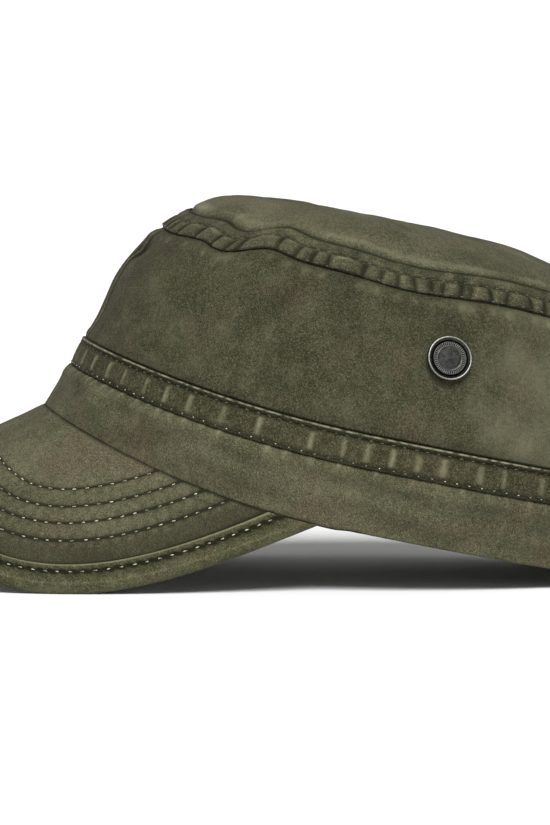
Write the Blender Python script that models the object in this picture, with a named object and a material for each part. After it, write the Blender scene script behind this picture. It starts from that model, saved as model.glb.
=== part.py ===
"""A soft washed field cap with an oval top, a taped band and a short curved visor, resting by itself.

Metres, +Z up. The visor points to -Y and the wearer's left is +X. The cap leans back: it stands on the
two low sides of its visor and on the back of its rim. Every cloth piece is modelled in the cap's own
frame, whose z = 0 is the rim at the sides, and one empty leans that frame back and sets it down.
"""
import math

import bmesh
import bpy
import numpy as np
from mathutils import Matrix, Vector

# Driving sizes of the crown
CROWN_WIDTH = 0.159
CROWN_LENGTH = 0.203
CROWN_HEIGHT = 0.0853
BAND_HEIGHT = 0.0202
TAPE_WIDTH = 0.0102
STRIP_WIDTH = 0.0078
SEAM_ROLL = 0.0009
DOME_RISE = 0.0115
FRONT_RISE = 0.0164
OVAL_SQUARENESS = 2.08
DOME_FULLNESS_FRONT = 5.4
DOME_FULLNESS_BACK = 2.3
FOLD_DEPTH = 0.003

# How far the crown's cloth gives way under the band tape and under the top seam's strip
TAPE_BED = 0.0015
STRIP_BED = 0.0021
BED_EASE = 0.0045

# Cloth walls and the clearance between pieces that are sewn together
WALL = 0.0018
TAPE_WALL = 0.0010
GAP = 0.0003
STRIP_GAP = 0.0005

# Puckers sewn into the band tape and into the top seam
TAPE_PUCKERS = 48
TAPE_PUCKER_DEPTH = 0.0005
STRIP_PUCKERS = 54
STRIP_PUCKER_DEPTH = 0.0005
STRIP_FOLD_RISE = 0.0006

# Driving sizes of the visor
VISOR_LENGTH = 0.0565
VISOR_SLOPE = math.radians(36.1)
VISOR_EASE = 0.0010
VISOR_WRAP = math.radians(78.9)
VISOR_ROOT = 0.0774
VISOR_SQUARENESS = 3.2
VISOR_WALL = 0.0012
VISOR_TIP = 0.0050
BINDING_WIDTH = 0.0089
BINDING_WALL = 0.0010

# Driving sizes of the tack button on the wearer's left
BUTTON_TURN = math.radians(99.0)
BUTTON_HEIGHT = 0.0578
BUTTON_DIAMETER = 0.0140
BUTTON_DEPTH = 0.0024
BUTTON_BEVEL = 0.00033
BUTTON_RECESS = 0.0011
BUTTON_FACE_DIAMETER = 0.0106
BUTTON_FACE_DEPTH = 0.0005
TACK_DIAMETER = 0.0026
TACK_WASHER_DIAMETER = 0.0090
TACK_WASHER_DEPTH = 0.0008
TACK_SOCKET_DEPTH = 0.0006
BUTTON_GAP = 0.0005

# How far the soft rim at the back gives way under the cap's weight
REST_SAG = 0.0014

# Columns of faces round each piece, and the shares of a piece's breadth at which its rows of faces lie
RING_COLUMNS = 64
TAPE_COLUMNS = 2 * TAPE_PUCKERS
STRIP_COLUMNS = 2 * STRIP_PUCKERS
VISOR_COLUMNS = 32
BINDING_COLUMNS = 36
BINDING_TURNS = 4
BUTTON_SIDES = 24
BAND_ROWS = (0.0, 0.3, 0.65, 1.0)
PANEL_ROWS = (0.0, 0.28, 0.55, 0.78, 0.92, 1.0)
DOME_ROWS = (0.03, 0.10, 0.22, 0.40, 0.66, 1.0)
VISOR_ROWS = (0.0, 0.26, 0.50, 0.70, 0.84, 0.93, 1.0)

# The rows of the band tape and of the top seam's strip, from their lower edges up, with the share of the
# pucker's depth that each row takes
PUCKER_COLUMNS = ("share", "raised")
TAPE_ROWS = ((0.0, 0.15), (0.5, 1.0), (1.0, 0.25))
STRIP_ROWS = ((0.0, 0.55), (0.28, 1.0), (0.58, 0.35), (1.0, 0.0))

# The last share of the binding, at each end, in which it turns to lie along the seam
BINDING_END = 0.2

# The band's wall stands level at the rim, over the lowest part of the band that this number divides
RIM_LEVEL = 3.0

# A step along a surface, in metres or radians, to find its slope
STEP = 0.0001

# Edges sharper than this are shaded sharp
SHARP_EDGE = math.radians(40.0)

# The crown's sections from the rim to the top seam. Height is a share of CROWN_HEIGHT, wide of half the
# width, front and back of half the length, and lift of FRONT_RISE.
SECTION_COLUMNS = ("height", "wide", "front", "back", "lift")
SECTIONS = (
    (0.000, 1.000, 1.017, 0.983, 1.000),
    (0.120, 1.035, 0.990, 0.992, 0.820),
    (0.237, 1.058, 0.972, 0.992, 0.628),
    (0.356, 1.047, 0.949, 0.981, 0.560),
    (0.500, 1.023, 0.904, 0.962, 0.450),
    (0.680, 0.980, 0.869, 0.931, 0.300),
    (0.800, 0.938, 0.831, 0.899, 0.220),
    (0.910, 0.882, 0.779, 0.861, 0.140),
    (1.000, 0.838, 0.704, 0.820, 0.090),
)

# Soft folds and hollows in the side of the crown. Turn is in degrees from the front towards the wearer's
# left, height is a share of CROWN_HEIGHT, spread is in degrees, tall is a share of CROWN_HEIGHT, and out
# is a share of FOLD_DEPTH, negative inwards.
FOLD_COLUMNS = ("turn", "height", "spread", "tall", "out")
FOLDS = (
    (13.0, 0.83, 9.0, 0.06, -0.40),
    (-13.0, 0.82, 10.0, 0.07, -0.35),
    (30.0, 0.62, 10.0, 0.18, 0.25),
    (52.0, 0.70, 12.0, 0.16, -0.30),
    (76.0, 0.55, 14.0, 0.16, 0.20),
    (122.0, 0.62, 13.0, 0.18, -0.45),
    (158.0, 0.55, 16.0, 0.20, -0.80),
    (-150.0, 0.60, 17.0, 0.20, -0.90),
    (-112.0, 0.52, 13.0, 0.18, 0.35),
    (-84.0, 0.66, 13.0, 0.16, -0.40),
    (-40.0, 0.62, 12.0, 0.18, 0.30),
    (28.0, 0.13, 12.0, 0.08, 0.25),
    (-30.0, 0.13, 13.0, 0.08, 0.25),
    (118.0, 0.10, 16.0, 0.09, -0.40),
    (-124.0, 0.10, 16.0, 0.09, -0.40),
)

# Waves of the top seam. Turn and spread are in degrees, and rise is a share of STRIP_WIDTH.
WAVE_COLUMNS = ("turn", "spread", "rise")
WAVES = (
    (22.0, 17.0, -0.22),
    (44.0, 6.5, -0.33),
    (56.0, 6.0, 0.23),
    (91.0, 12.0, -0.22),
    (128.0, 14.0, -0.14),
    (180.0, 40.0, -0.20),
    (158.0, 13.0, -0.16),
    (-164.0, 12.0, 0.14),
    (-128.0, 13.0, -0.18),
    (-92.0, 12.0, 0.14),
    (-62.0, 9.0, -0.18),
    (-46.0, 7.0, 0.20),
)

# Slumps of the top panel. Across and along are shares of half the crown's width and length, size is a
# share of half the width, and rise is a share of DOME_RISE.
SLUMP_COLUMNS = ("across", "along", "size", "rise")
SLUMPS = (
    (0.30, -0.28, 0.26, 0.06),
    (0.10, -0.42, 0.16, -0.10),
    (-0.28, -0.20, 0.30, -0.12),
    (0.22, 0.30, 0.34, -0.08),
    (-0.18, 0.42, 0.26, 0.08),
)

CLOTH = (0.092, 0.095, 0.053)
TAPE_CLOTH = (0.066, 0.066, 0.036)
BINDING_CLOTH = (0.125, 0.130, 0.070)
DARK_METAL = (0.060, 0.060, 0.062)
FACE_METAL = (0.045, 0.045, 0.047)


def clear_scene():
    """Remove every object and mesh that the file holds."""
    for thing in list(bpy.data.objects):
        bpy.data.objects.remove(thing, do_unlink=True)
    for mesh in list(bpy.data.meshes):
        bpy.data.meshes.remove(mesh)


def finish(name, colour, roughness, metallic):
    """A Principled material of one colour."""
    material = bpy.data.materials.new(name)
    material.use_nodes = True
    shader = material.node_tree.nodes["Principled BSDF"]
    shader.inputs["Base Color"].default_value = (*colour, 1.0)
    shader.inputs["Roughness"].default_value = roughness
    shader.inputs["Metallic"].default_value = metallic
    return material


def column(table, columns, name):
    """One named column of a table, as an array."""
    return np.array([row[columns.index(name)] for row in table])


def smooth_through(at, stations, values):
    """A smooth curve through the values: cubic pieces whose slopes are the mean slopes at the stations."""
    slopes = np.gradient(values, stations)
    left = np.clip(np.searchsorted(stations, at, side="right") - 1, 0, len(stations) - 2)
    span = stations[left + 1] - stations[left]
    t = (at - stations[left]) / span
    rise = t * t * (3.0 - 2.0 * t)
    start_slope = t * (1.0 - t) ** 2 * span * slopes[left]
    end_slope = t * t * (t - 1.0) * span * slopes[left + 1]
    return values[left] * (1.0 - rise) + values[left + 1] * rise + start_slope + end_slope


def table_rows(table, columns):
    """A table's rows as dictionaries by column name."""
    return [dict(zip(columns, row)) for row in table]


def signed_power(value, power):
    """The value's size raised to a power, with its sign kept."""
    return np.sign(value) * np.abs(value) ** power


def angle_between(turn, centre):
    """The shorter way round from the centre angle to the turn, in radians."""
    return (turn - centre + np.pi) % (2.0 * np.pi) - np.pi


def hump(distance):
    """A bell curve: 1 in the middle, near 0 two units away."""
    return np.exp(-distance * distance)


def front_weight(turn):
    """1 at the front, easing to 0 at the sides as the square of the cosine."""
    return np.maximum(np.cos(turn), 0.0) ** 2


def ease(value):
    """A smooth step: 0 up to 0, 1 from 1 on."""
    share = np.clip(value, 0.0, 1.0)
    return share * share * (3.0 - 2.0 * share)


def bed(height):
    """How far the cloth gives way under the tape and the strip: flat beneath each, easing out beside it."""
    tape = ease((height - BAND_HEIGHT) / BED_EASE + 1.0)
    tape = tape * ease((BAND_HEIGHT + TAPE_WIDTH - height) / BED_EASE + 1.0)
    strip = ease((height - CROWN_HEIGHT + STRIP_WIDTH) / BED_EASE + 1.0)
    return TAPE_BED * tape + STRIP_BED * strip


def plan(turn, share):
    """The crown's outline at a share of its height: half ovals, wider or longer as SECTIONS says."""
    heights = column(SECTIONS, SECTION_COLUMNS, "height")
    size = {}
    for name in SECTION_COLUMNS[1:4]:
        size[name] = smooth_through(share, heights, column(SECTIONS, SECTION_COLUMNS, name))
    across = signed_power(np.sin(turn), 2.0 / OVAL_SQUARENESS)
    along = signed_power(np.cos(turn), 2.0 / OVAL_SQUARENESS)
    length = np.where(np.cos(turn) > 0.0, size["front"], size["back"])
    return across * size["wide"] * CROWN_WIDTH / 2.0, -along * length * CROWN_LENGTH / 2.0


def fold(turn, share):
    """How far the cloth stands out of, or sinks into, the plain crown: a sum of soft humps."""
    out = np.zeros(np.broadcast(turn, share).shape)
    for row in table_rows(FOLDS, FOLD_COLUMNS):
        sideways = angle_between(turn, math.radians(row["turn"])) / math.radians(row["spread"])
        upwards = (share - row["height"]) / row["tall"]
        out = out + FOLD_DEPTH * row["out"] * hump(sideways) * hump(upwards)
    return out


def wave(turn):
    """How far the top seam rises or dips, along its way round."""
    rise = np.zeros(np.shape(turn))
    for row in table_rows(WAVES, WAVE_COLUMNS):
        sideways = angle_between(turn, math.radians(row["turn"])) / math.radians(row["spread"])
        rise = rise + STRIP_WIDTH * row["rise"] * hump(sideways)
    return rise


def crown(turn, height):
    """The crown's outer face: the plan at that height, moved by folds and beds, lifted at the front."""
    share = height / CROWN_HEIGHT
    x, y = plan(turn, share)
    out = (fold(turn, share) - bed(height)) / np.hypot(x, y)
    lift = smooth_through(share, column(SECTIONS, SECTION_COLUMNS, "height"),
                          column(SECTIONS, SECTION_COLUMNS, "lift"))
    z = height + FRONT_RISE * lift * front_weight(turn)
    return np.stack([x * (1.0 + out), y * (1.0 + out), z], axis=-1)


def dome(turn, inward):
    """The top panel: the seam's oval shrunk to a point while it rises to the middle, with its slumps."""
    edge = crown(turn, CROWN_HEIGHT + wave(turn))
    out = 1.0 - inward
    x = edge[..., 0] * out
    y = edge[..., 1] * out
    middle = CROWN_HEIGHT + DOME_RISE
    forward = (1.0 + np.cos(turn)) / 2.0
    fullness = DOME_FULLNESS_BACK + (DOME_FULLNESS_FRONT - DOME_FULLNESS_BACK) * forward
    z = edge[..., 2] + (middle - edge[..., 2]) * (1.0 - np.abs(out) ** fullness)
    held = 1.0 - np.abs(out) ** 2
    for row in table_rows(SLUMPS, SLUMP_COLUMNS):
        sideways = x - row["across"] * CROWN_WIDTH / 2.0
        away = np.hypot(sideways, y - row["along"] * CROWN_LENGTH / 2.0)
        z = z + DOME_RISE * row["rise"] * held * hump(away / (row["size"] * CROWN_WIDTH / 2.0))
    return np.stack([x, y, z], axis=-1)


def normals(surface, first, second):
    """A surface's outward normals, from two short steps on the surface, or straight up at a pole."""
    along = surface(first + STEP, second) - surface(first - STEP, second)
    upward = surface(first, second + STEP) - surface(first, second - STEP)
    normal = np.cross(along, upward)
    length = np.linalg.norm(normal, axis=-1, keepdims=True)
    straight_up = np.array([0.0, 0.0, 1.0])
    return np.where(length > 1e-16, normal / np.maximum(length, 1e-30), straight_up)


def crown_skin(turn, height, out):
    """The crown's face moved along its normal, which is level at the rim, so that the rim stays flat."""
    normal = normals(crown, turn, height)
    normal[..., 2] = normal[..., 2] * np.clip(RIM_LEVEL * height / BAND_HEIGHT, 0.0, 1.0)
    normal = normal / np.linalg.norm(normal, axis=-1, keepdims=True)
    return crown(turn, height) + normal * np.asarray(out)[..., None]


def dome_skin(turn, inward, out):
    """The top panel's face moved along its normal."""
    return dome(turn, inward) + normals(dome, turn, inward) * np.asarray(out)[..., None]


def mesh_object(name, verts, faces, material, parent):
    """One closed mesh from its corners and faces, welded, facing out and shaded smooth."""
    mesh = bpy.data.meshes.new(name)
    mesh.from_pydata(verts, [], faces)
    body = bmesh.new()
    body.from_mesh(mesh)
    bmesh.ops.remove_doubles(body, verts=body.verts, dist=0.000001)
    bmesh.ops.recalc_face_normals(body, faces=body.faces)
    body.to_mesh(mesh)
    body.free()
    mesh.shade_smooth()
    mesh.set_sharp_from_angle(angle=SHARP_EDGE)
    mesh.materials.append(material)
    thing = bpy.data.objects.new(name, mesh)
    thing.parent = parent
    bpy.context.collection.objects.link(thing)
    return thing


def slab(name, outer, inner, material, parent, closed):
    """A cloth wall between two grids of points, rows up and columns along, closed round or ended."""
    rows, columns = outer.shape[:2]
    count = rows * columns
    verts = np.concatenate([outer.reshape(-1, 3), inner.reshape(-1, 3)]).tolist()
    faces = []

    def at(row, col):
        return row * columns + col % columns

    for row in range(rows - 1):
        for col in range(columns if closed else columns - 1):
            corners = (at(row, col), at(row, col + 1), at(row + 1, col + 1), at(row + 1, col))
            faces.append(corners)
            faces.append(tuple(count + corner for corner in reversed(corners)))
    for col in range(columns if closed else columns - 1):
        faces.append((at(0, col + 1), at(0, col), count + at(0, col), count + at(0, col + 1)))
        top = rows - 1
        faces.append((at(top, col), at(top, col + 1), count + at(top, col + 1), count + at(top, col)))
    if not closed:
        for row in range(rows - 1):
            for col, flip in ((0, False), (columns - 1, True)):
                corners = (at(row, col), at(row + 1, col), count + at(row + 1, col), count + at(row, col))
                faces.append(tuple(reversed(corners)) if flip else corners)
    faces = [face for face in (without_repeats(face, verts) for face in faces) if len(face) > 2]
    return mesh_object(name, verts, faces, material, parent)


def without_repeats(face, verts):
    """A face's corners, less those that fall on the corner before them, as at a pole."""
    kept = []
    for corner in face:
        if all(math.dist(verts[corner], verts[other]) > 0.000001 for other in kept):
            kept.append(corner)
    return tuple(kept)


def loop_sweep(name, sections, material, parent):
    """A solid from closed sections of as many points each, joined in turn and capped as strips."""
    stations, around = sections.shape[:2]
    verts = sections.reshape(-1, 3).tolist()
    faces = []
    for station in range(stations - 1):
        for point in range(around):
            other = (point + 1) % around
            low, high = station * around, (station + 1) * around
            faces.append((low + point, low + other, high + other, high + point))
    for point in range(around // 2 - 1):
        far = around - 1 - point
        strip = (point, point + 1, far - 1, far)
        faces.append(strip)
        faces.append(tuple((stations - 1) * around + corner for corner in reversed(strip)))
    return mesh_object(name, verts, faces, material, parent)


def turned(name, profile, material, parent, place):
    """A solid turned about its own Z axis from a closed profile of (radius, height) points."""
    turns = np.arange(BUTTON_SIDES) * 2.0 * np.pi / BUTTON_SIDES
    rings = np.array([[(r * math.cos(t), r * math.sin(t), h) for t in turns] for r, h in profile])
    count = BUTTON_SIDES
    verts = rings.reshape(-1, 3).tolist()
    faces = []
    for ring in range(len(profile) - 1):
        for side in range(count):
            other = (side + 1) % count
            low, high = ring * count, (ring + 1) * count
            face = without_repeats((low + side, low + other, high + other, high + side), verts)
            if len(face) > 2:
                faces.append(face)
    thing = mesh_object(name, verts, faces, material, parent)
    thing.matrix_local = place
    return thing


# The visor is part of a round pipe that points forwards and down. A point of its cloth has an angle round
# the pipe, a run along it, and a depth out of the upper cloth's face.
VISOR_RADIUS = CROWN_WIDTH / 2.0 + VISOR_EASE
VISOR_FORWARD = np.array([0.0, -math.cos(VISOR_SLOPE), -math.sin(VISOR_SLOPE)])
VISOR_UP = np.array([0.0, -math.sin(VISOR_SLOPE), math.cos(VISOR_SLOPE)])
VISOR_THICK = 2.0 * VISOR_WALL + GAP


def visor_start():
    """The middle of the seam between visor and band, just under the rim."""
    return crown(0.0, 0.0) - np.array([0.0, 0.0, GAP])


def pipe(angle, run, out):
    """A point on the plain pipe."""
    radius = VISOR_RADIUS + out
    across = radius * np.sin(angle)
    up = radius * np.cos(angle) - VISOR_RADIUS
    point = visor_start() + np.asarray(run)[..., None] * VISOR_FORWARD + up[..., None] * VISOR_UP
    point[..., 0] = point[..., 0] + across
    return point


def seam(turn, out):
    """Where a layer of the visor meets the level of the rim at that turn: its angle and run on the pipe.

    From the rim's outer corner the point moves straight inwards until it lies on the layer, which is a
    quadratic equation. The drop is how far the rim there is from the plain pipe.
    """
    rim = np.zeros(np.shape(turn))
    corner = crown(turn, rim)
    along = crown(turn + STEP, rim) - crown(turn - STEP, rim)
    outward = np.stack([along[..., 1], -along[..., 0], rim], axis=-1)
    outward = outward / np.linalg.norm(outward, axis=-1, keepdims=True)
    offset = corner - visor_start()
    x = offset[..., 0]
    up = VISOR_RADIUS * np.cos(np.arcsin(x / VISOR_RADIUS)) - VISOR_RADIUS
    run = (-offset[..., 1] - up * math.sin(VISOR_SLOPE)) / math.cos(VISOR_SLOPE)
    level = up * math.cos(VISOR_SLOPE) - run * math.sin(VISOR_SLOPE)
    drop = offset[..., 2] - GAP - level
    start = np.stack([x, offset[..., 1], level], axis=-1)
    height = start @ VISOR_UP + VISOR_RADIUS
    tilt = outward @ VISOR_UP
    a = outward[..., 0] ** 2 + tilt ** 2
    b = -2.0 * (x * outward[..., 0] + height * tilt)
    c = x * x + height * height - (VISOR_RADIUS + out) ** 2
    inward = (-b - np.sqrt(b * b - 4.0 * a * c)) / (2.0 * a)
    point = start - inward[..., None] * outward
    return np.arctan2(point[..., 0], point @ VISOR_UP + VISOR_RADIUS), point @ VISOR_FORWARD, drop


def seam_table():
    """The upper cloth's seam from the front to the side, to look up its run and drop by angle."""
    turns = np.radians(np.linspace(0.0, 88.0, 177))
    return (turns, *seam(turns, 0.0))


def visor_surface(angle, run, out):
    """A point of the visor: on the pipe, moved up or down to meet the rim, which fades along the cloth."""
    _, angles, runs, drops = seam_table()
    away = np.abs(angle)
    ahead = run - np.interp(away, angles, runs)
    fade = np.clip(1.0 - ahead / VISOR_LENGTH, 0.0, 1.0) ** 2
    point = pipe(angle, run, out)
    point[..., 2] = point[..., 2] + np.interp(away, angles, drops) * fade
    return point


def visor_edge(bend):
    """The visor's flat outline, a squared oval: how far across and along the cloth it is at a bend."""
    half = VISOR_RADIUS * VISOR_WRAP
    reach = VISOR_LENGTH + VISOR_ROOT
    power = 2.0 / VISOR_SQUARENESS
    return half * signed_power(np.sin(bend), power), reach * np.abs(np.cos(bend)) ** power - VISOR_ROOT


def visor_outline(way, inset):
    """The outline moved in parallel to itself by the inset, at a share of its own length from the front."""
    bends = np.pi / 2.0 * np.linspace(0.0, 1.0, 500) ** 1.6
    across, along = visor_edge(bends)
    run = np.concatenate([[0.0], np.cumsum(np.hypot(np.diff(across), np.diff(along)))])
    bend = np.interp(np.abs(way), run / run[-1], bends) * np.sign(way)
    ahead, behind, middle = visor_edge(bend + STEP), visor_edge(bend - STEP), visor_edge(bend)
    across, along = ahead[0] - behind[0], ahead[1] - behind[1]
    length = np.hypot(across, along)
    return (middle[0] + along / length * inset) / VISOR_RADIUS, middle[1] - across / length * inset


def outline_end(inset):
    """The share of the outline, moved in by the inset, at which it reaches the seam, and the turn there."""
    ways = np.linspace(0.3, 0.99, 600)
    angle, run = visor_outline(ways, inset)
    turns, angles, runs, _ = seam_table()
    ahead = run - np.interp(angle, angles, runs)
    first = int(np.argmax(ahead < 0.0))
    share = ahead[first - 1] / (ahead[first - 1] - ahead[first])
    way = ways[first - 1] + share * (ways[first] - ways[first - 1])
    return way, float(np.interp(visor_outline(way, inset)[0], angles, turns))


def visor_grid(out, inset):
    """One face of a visor cloth, from the seam to the outline moved in by the inset."""
    end, turn = outline_end(inset)
    ways = np.linspace(0.0, 1.0, 200)
    angle, run = visor_outline(ways * end, inset)
    root_angle, root_run, _ = seam(ways * turn, 0.0)
    width = np.hypot((angle - root_angle) * VISOR_RADIUS, run - root_run)
    reach = float(np.interp(-VISOR_TIP, -width, ways))
    ways = np.linspace(-reach, reach, VISOR_COLUMNS)
    angle, run = visor_outline(ways * end, inset)
    root_angle, root_run, _ = seam(np.abs(ways) * turn, out)
    root_angle = root_angle * np.sign(ways)
    share = np.array(VISOR_ROWS)[:, None]
    return visor_surface(root_angle + (angle - root_angle) * share, root_run + (run - root_run) * share, out)


def binding_section():
    """The U section of the binding: inset and depth of its outer face, then of its inner face."""
    top, bottom = GAP + BINDING_WALL, -VISOR_THICK - GAP - BINDING_WALL
    middle, half = (top + bottom) / 2.0, (top - bottom) / 2.0
    inner_half = half - BINDING_WALL
    outer = [(BINDING_WIDTH, top), (BINDING_WIDTH / 2.0, top)]
    inner = [(BINDING_WIDTH, top - BINDING_WALL), (BINDING_WIDTH / 2.0, top - BINDING_WALL)]
    for turn in range(BINDING_TURNS):
        angle = math.pi * turn / (BINDING_TURNS - 1)
        outer.append((half - half * math.sin(angle), middle + half * math.cos(angle)))
        inner.append((GAP + BINDING_WALL, middle + inner_half * math.cos(angle)))
    outer += [(BINDING_WIDTH / 2.0, bottom), (BINDING_WIDTH, bottom)]
    inner += [(BINDING_WIDTH / 2.0, bottom + BINDING_WALL), (BINDING_WIDTH, bottom + BINDING_WALL)]
    return np.array(outer + inner[::-1])


def binding_sections():
    """The binding's section carried along the visor's edge, its ends turned to lie along the seam."""
    section = binding_section()
    inset = section[:, 0] / BINDING_WIDTH
    edge_end, edge_turn = outline_end(0.0)
    fold_end, fold_turn = outline_end(BINDING_WIDTH)
    ways = np.linspace(-1.0, 1.0, BINDING_COLUMNS)[:, None]

    def between(way):
        outer, inner = visor_outline(way * edge_end, 0.0), visor_outline(way * fold_end, BINDING_WIDTH)
        return [start + (end - start) * inset for start, end in zip(outer, inner)]

    angle, run = between(ways)
    end_angle, end_run = between(np.ones((1, 1)))
    root_turn = edge_turn + (fold_turn - edge_turn) * inset
    root_angle, root_run, _ = seam(root_turn, section[:, 1])
    near_end = ease((np.abs(ways) - 1.0) / BINDING_END + 1.0)
    angle = angle + near_end * np.sign(ways) * (root_angle - end_angle)
    run = run + near_end * (root_run - end_run)
    return visor_surface(angle, run, np.broadcast_to(section[:, 1], angle.shape))


def leaned(points, lean):
    """Points of the cap's own frame after the cap leans back by an angle about the X axis."""
    cos, sin = math.cos(lean), math.sin(lean)
    y, z = points[..., 1], points[..., 2]
    return np.stack([points[..., 0], y * cos + z * sin, z * cos - y * sin], axis=-1)


def resting_lean():
    """The lean at which the visor's low sides and the sagging back of the rim reach the same level."""
    binding = binding_sections()
    turns = np.radians(np.linspace(90.0, 180.0, 91))
    rim = crown(turns, np.zeros(turns.shape))
    low, high = 0.0, math.radians(40.0)
    for _ in range(40):
        middle = (low + high) / 2.0
        visor_low = leaned(binding, middle)[..., 2].min()
        rim_low = leaned(rim, middle)[..., 2].min() + REST_SAG
        if visor_low < rim_low:
            low = middle
        else:
            high = middle
    return low, -leaned(binding, low)[..., 2].min()


def settle(grid, heights, lean, ground):
    """Lift the band's rim where it would sink through the surface it rests on, fading up the band."""
    rim_level = leaned(grid[0], lean)[..., 2] + ground
    lift = np.maximum(-rim_level, 0.0)
    fade = np.clip(1.0 - heights / BAND_HEIGHT, 0.0, 1.0)
    up = np.array([0.0, -math.sin(lean), math.cos(lean)])
    return grid + (lift[None, :] * fade[:, None] ** 2)[..., None] * up


def ring_turns(columns):
    """Even turns round the whole crown, starting at the front."""
    return np.arange(columns) * 2.0 * np.pi / columns


def crown_grid(turns, heights, out):
    """A patch of the crown's face, moved out, at the given turns and heights."""
    turn, height = np.meshgrid(turns, heights)
    return crown_skin(turn, height, np.broadcast_to(out, turn.shape))


def make_lower_band(cloth, cap, lean, ground):
    """The ring of cloth from the rim to the middle of the tape."""
    heights = np.append(np.array(BAND_ROWS) * BAND_HEIGHT, BAND_HEIGHT + TAPE_WIDTH / 2.0 - GAP / 2.0)
    turns = ring_turns(RING_COLUMNS)
    faces = [settle(crown_grid(turns, heights, out), heights, lean, ground) for out in (0.0, -WALL)]
    slab("lower_band", faces[0], faces[1], cloth, cap, closed=True)


def make_side_panels(cloth, cap):
    """The left and right side panels, from the middle of the tape to the middle of the top seam."""
    foot = BAND_HEIGHT + TAPE_WIDTH / 2.0 + GAP / 2.0
    hem = CROWN_HEIGHT - STRIP_WIDTH
    head = CROWN_HEIGHT - STRIP_WIDTH / 2.0 - GAP / 2.0
    tape_top = BAND_HEIGHT + TAPE_WIDTH
    between = tape_top + (hem - tape_top) * np.array(PANEL_ROWS)
    heights = np.concatenate([[foot], between, [head]])
    margin = GAP / CROWN_WIDTH
    panels = []
    for name, side in (("side_panel_left", 1.0), ("side_panel_right", -1.0)):
        turns = side * np.linspace(margin, np.pi - margin, RING_COLUMNS // 2 + 1)
        turn, height = np.meshgrid(turns, heights)
        held = np.clip((height - tape_top) / (hem - tape_top), 0.0, 1.0)
        height = height + wave(turn) * held
        outer = crown_skin(turn, height, np.zeros(turn.shape))
        inner = crown_skin(turn, height, np.full(turn.shape, -WALL))
        panels.append(slab(name, outer, inner, cloth, cap, closed=False))
    return panels


def make_crown_top(cloth, cap):
    """The oval top panel, from the middle of the top seam over the dome."""
    turns = ring_turns(RING_COLUMNS)
    start = CROWN_HEIGHT - STRIP_WIDTH / 2.0 + GAP / 2.0
    turn, height = np.meshgrid(turns, np.array([start, CROWN_HEIGHT - SEAM_ROLL]))
    height = height + wave(turn)
    dome_turn, inward = np.meshgrid(turns, np.array(DOME_ROWS))
    faces = []
    for out in (0.0, -WALL):
        low = crown_skin(turn, height, np.full(turn.shape, out))
        high = dome_skin(dome_turn, inward, np.full(dome_turn.shape, out))
        faces.append(np.concatenate([low, high]))
    slab("crown_top", faces[0], faces[1], cloth, cap, closed=True)


def make_band_tape(cloth, cap):
    """The puckered tape over the joint of the lower band and the side panels."""
    turns = ring_turns(TAPE_COLUMNS)
    heights = BAND_HEIGHT + TAPE_WIDTH * column(TAPE_ROWS, PUCKER_COLUMNS, "share")
    pucker = 0.5 - 0.5 * np.cos(turns * TAPE_PUCKERS)
    rise = TAPE_PUCKER_DEPTH * column(TAPE_ROWS, PUCKER_COLUMNS, "raised")[:, None] * pucker
    outer = crown_grid(turns, heights, GAP + TAPE_WALL + rise)
    inner = crown_grid(turns, heights, GAP)
    slab("band_tape", outer, inner, cloth, cap, closed=True)


def make_top_seam_tape(cloth, cap):
    """The felled strip over the top seam, puckered and raised along its lower half."""
    turns = ring_turns(STRIP_COLUMNS)
    shares = column(STRIP_ROWS, PUCKER_COLUMNS, "share")
    turn, height = np.meshgrid(turns, CROWN_HEIGHT - STRIP_WIDTH * (1.0 - shares))
    height = height + wave(turn)
    pucker = 0.5 - 0.5 * np.cos(turns * STRIP_PUCKERS)
    raised = column(STRIP_ROWS, PUCKER_COLUMNS, "raised")[:, None]
    rise = raised * (STRIP_FOLD_RISE + STRIP_PUCKER_DEPTH * pucker)
    outer = crown_skin(turn, height, STRIP_GAP + TAPE_WALL + rise)
    inner = crown_skin(turn, height, np.full(turn.shape, STRIP_GAP))
    slab("top_seam_tape", outer, inner, cloth, cap, closed=True)


def make_visor(cloth, binding_cloth, cap):
    """The visor's upper and under cloths, and the binding folded round their edge."""
    setback = GAP + BINDING_WALL + GAP
    for name, top in (("visor_upper", 0.0), ("visor_under", -VISOR_WALL - GAP)):
        upper = visor_grid(top, setback)
        lower = visor_grid(top - VISOR_WALL, setback)
        slab(name, upper, lower, cloth, cap, closed=False)
    loop_sweep("visor_binding", binding_sections(), binding_cloth, cap)


def button_place():
    """The button's own frame on the left side panel: its Z axis is the cloth's outward normal."""
    turn, height = np.array(BUTTON_TURN), np.array(BUTTON_HEIGHT)
    seat = crown_skin(turn, height, np.array(0.0))
    outward = Vector(crown_skin(turn, height, np.array(1.0)) - seat).normalized()
    upward = Vector((0.0, 0.0, 1.0))
    side = upward.cross(outward).normalized()
    place = Matrix((side, outward.cross(side), outward)).transposed().to_4x4()
    place.translation = Vector(seat)
    return place


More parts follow.
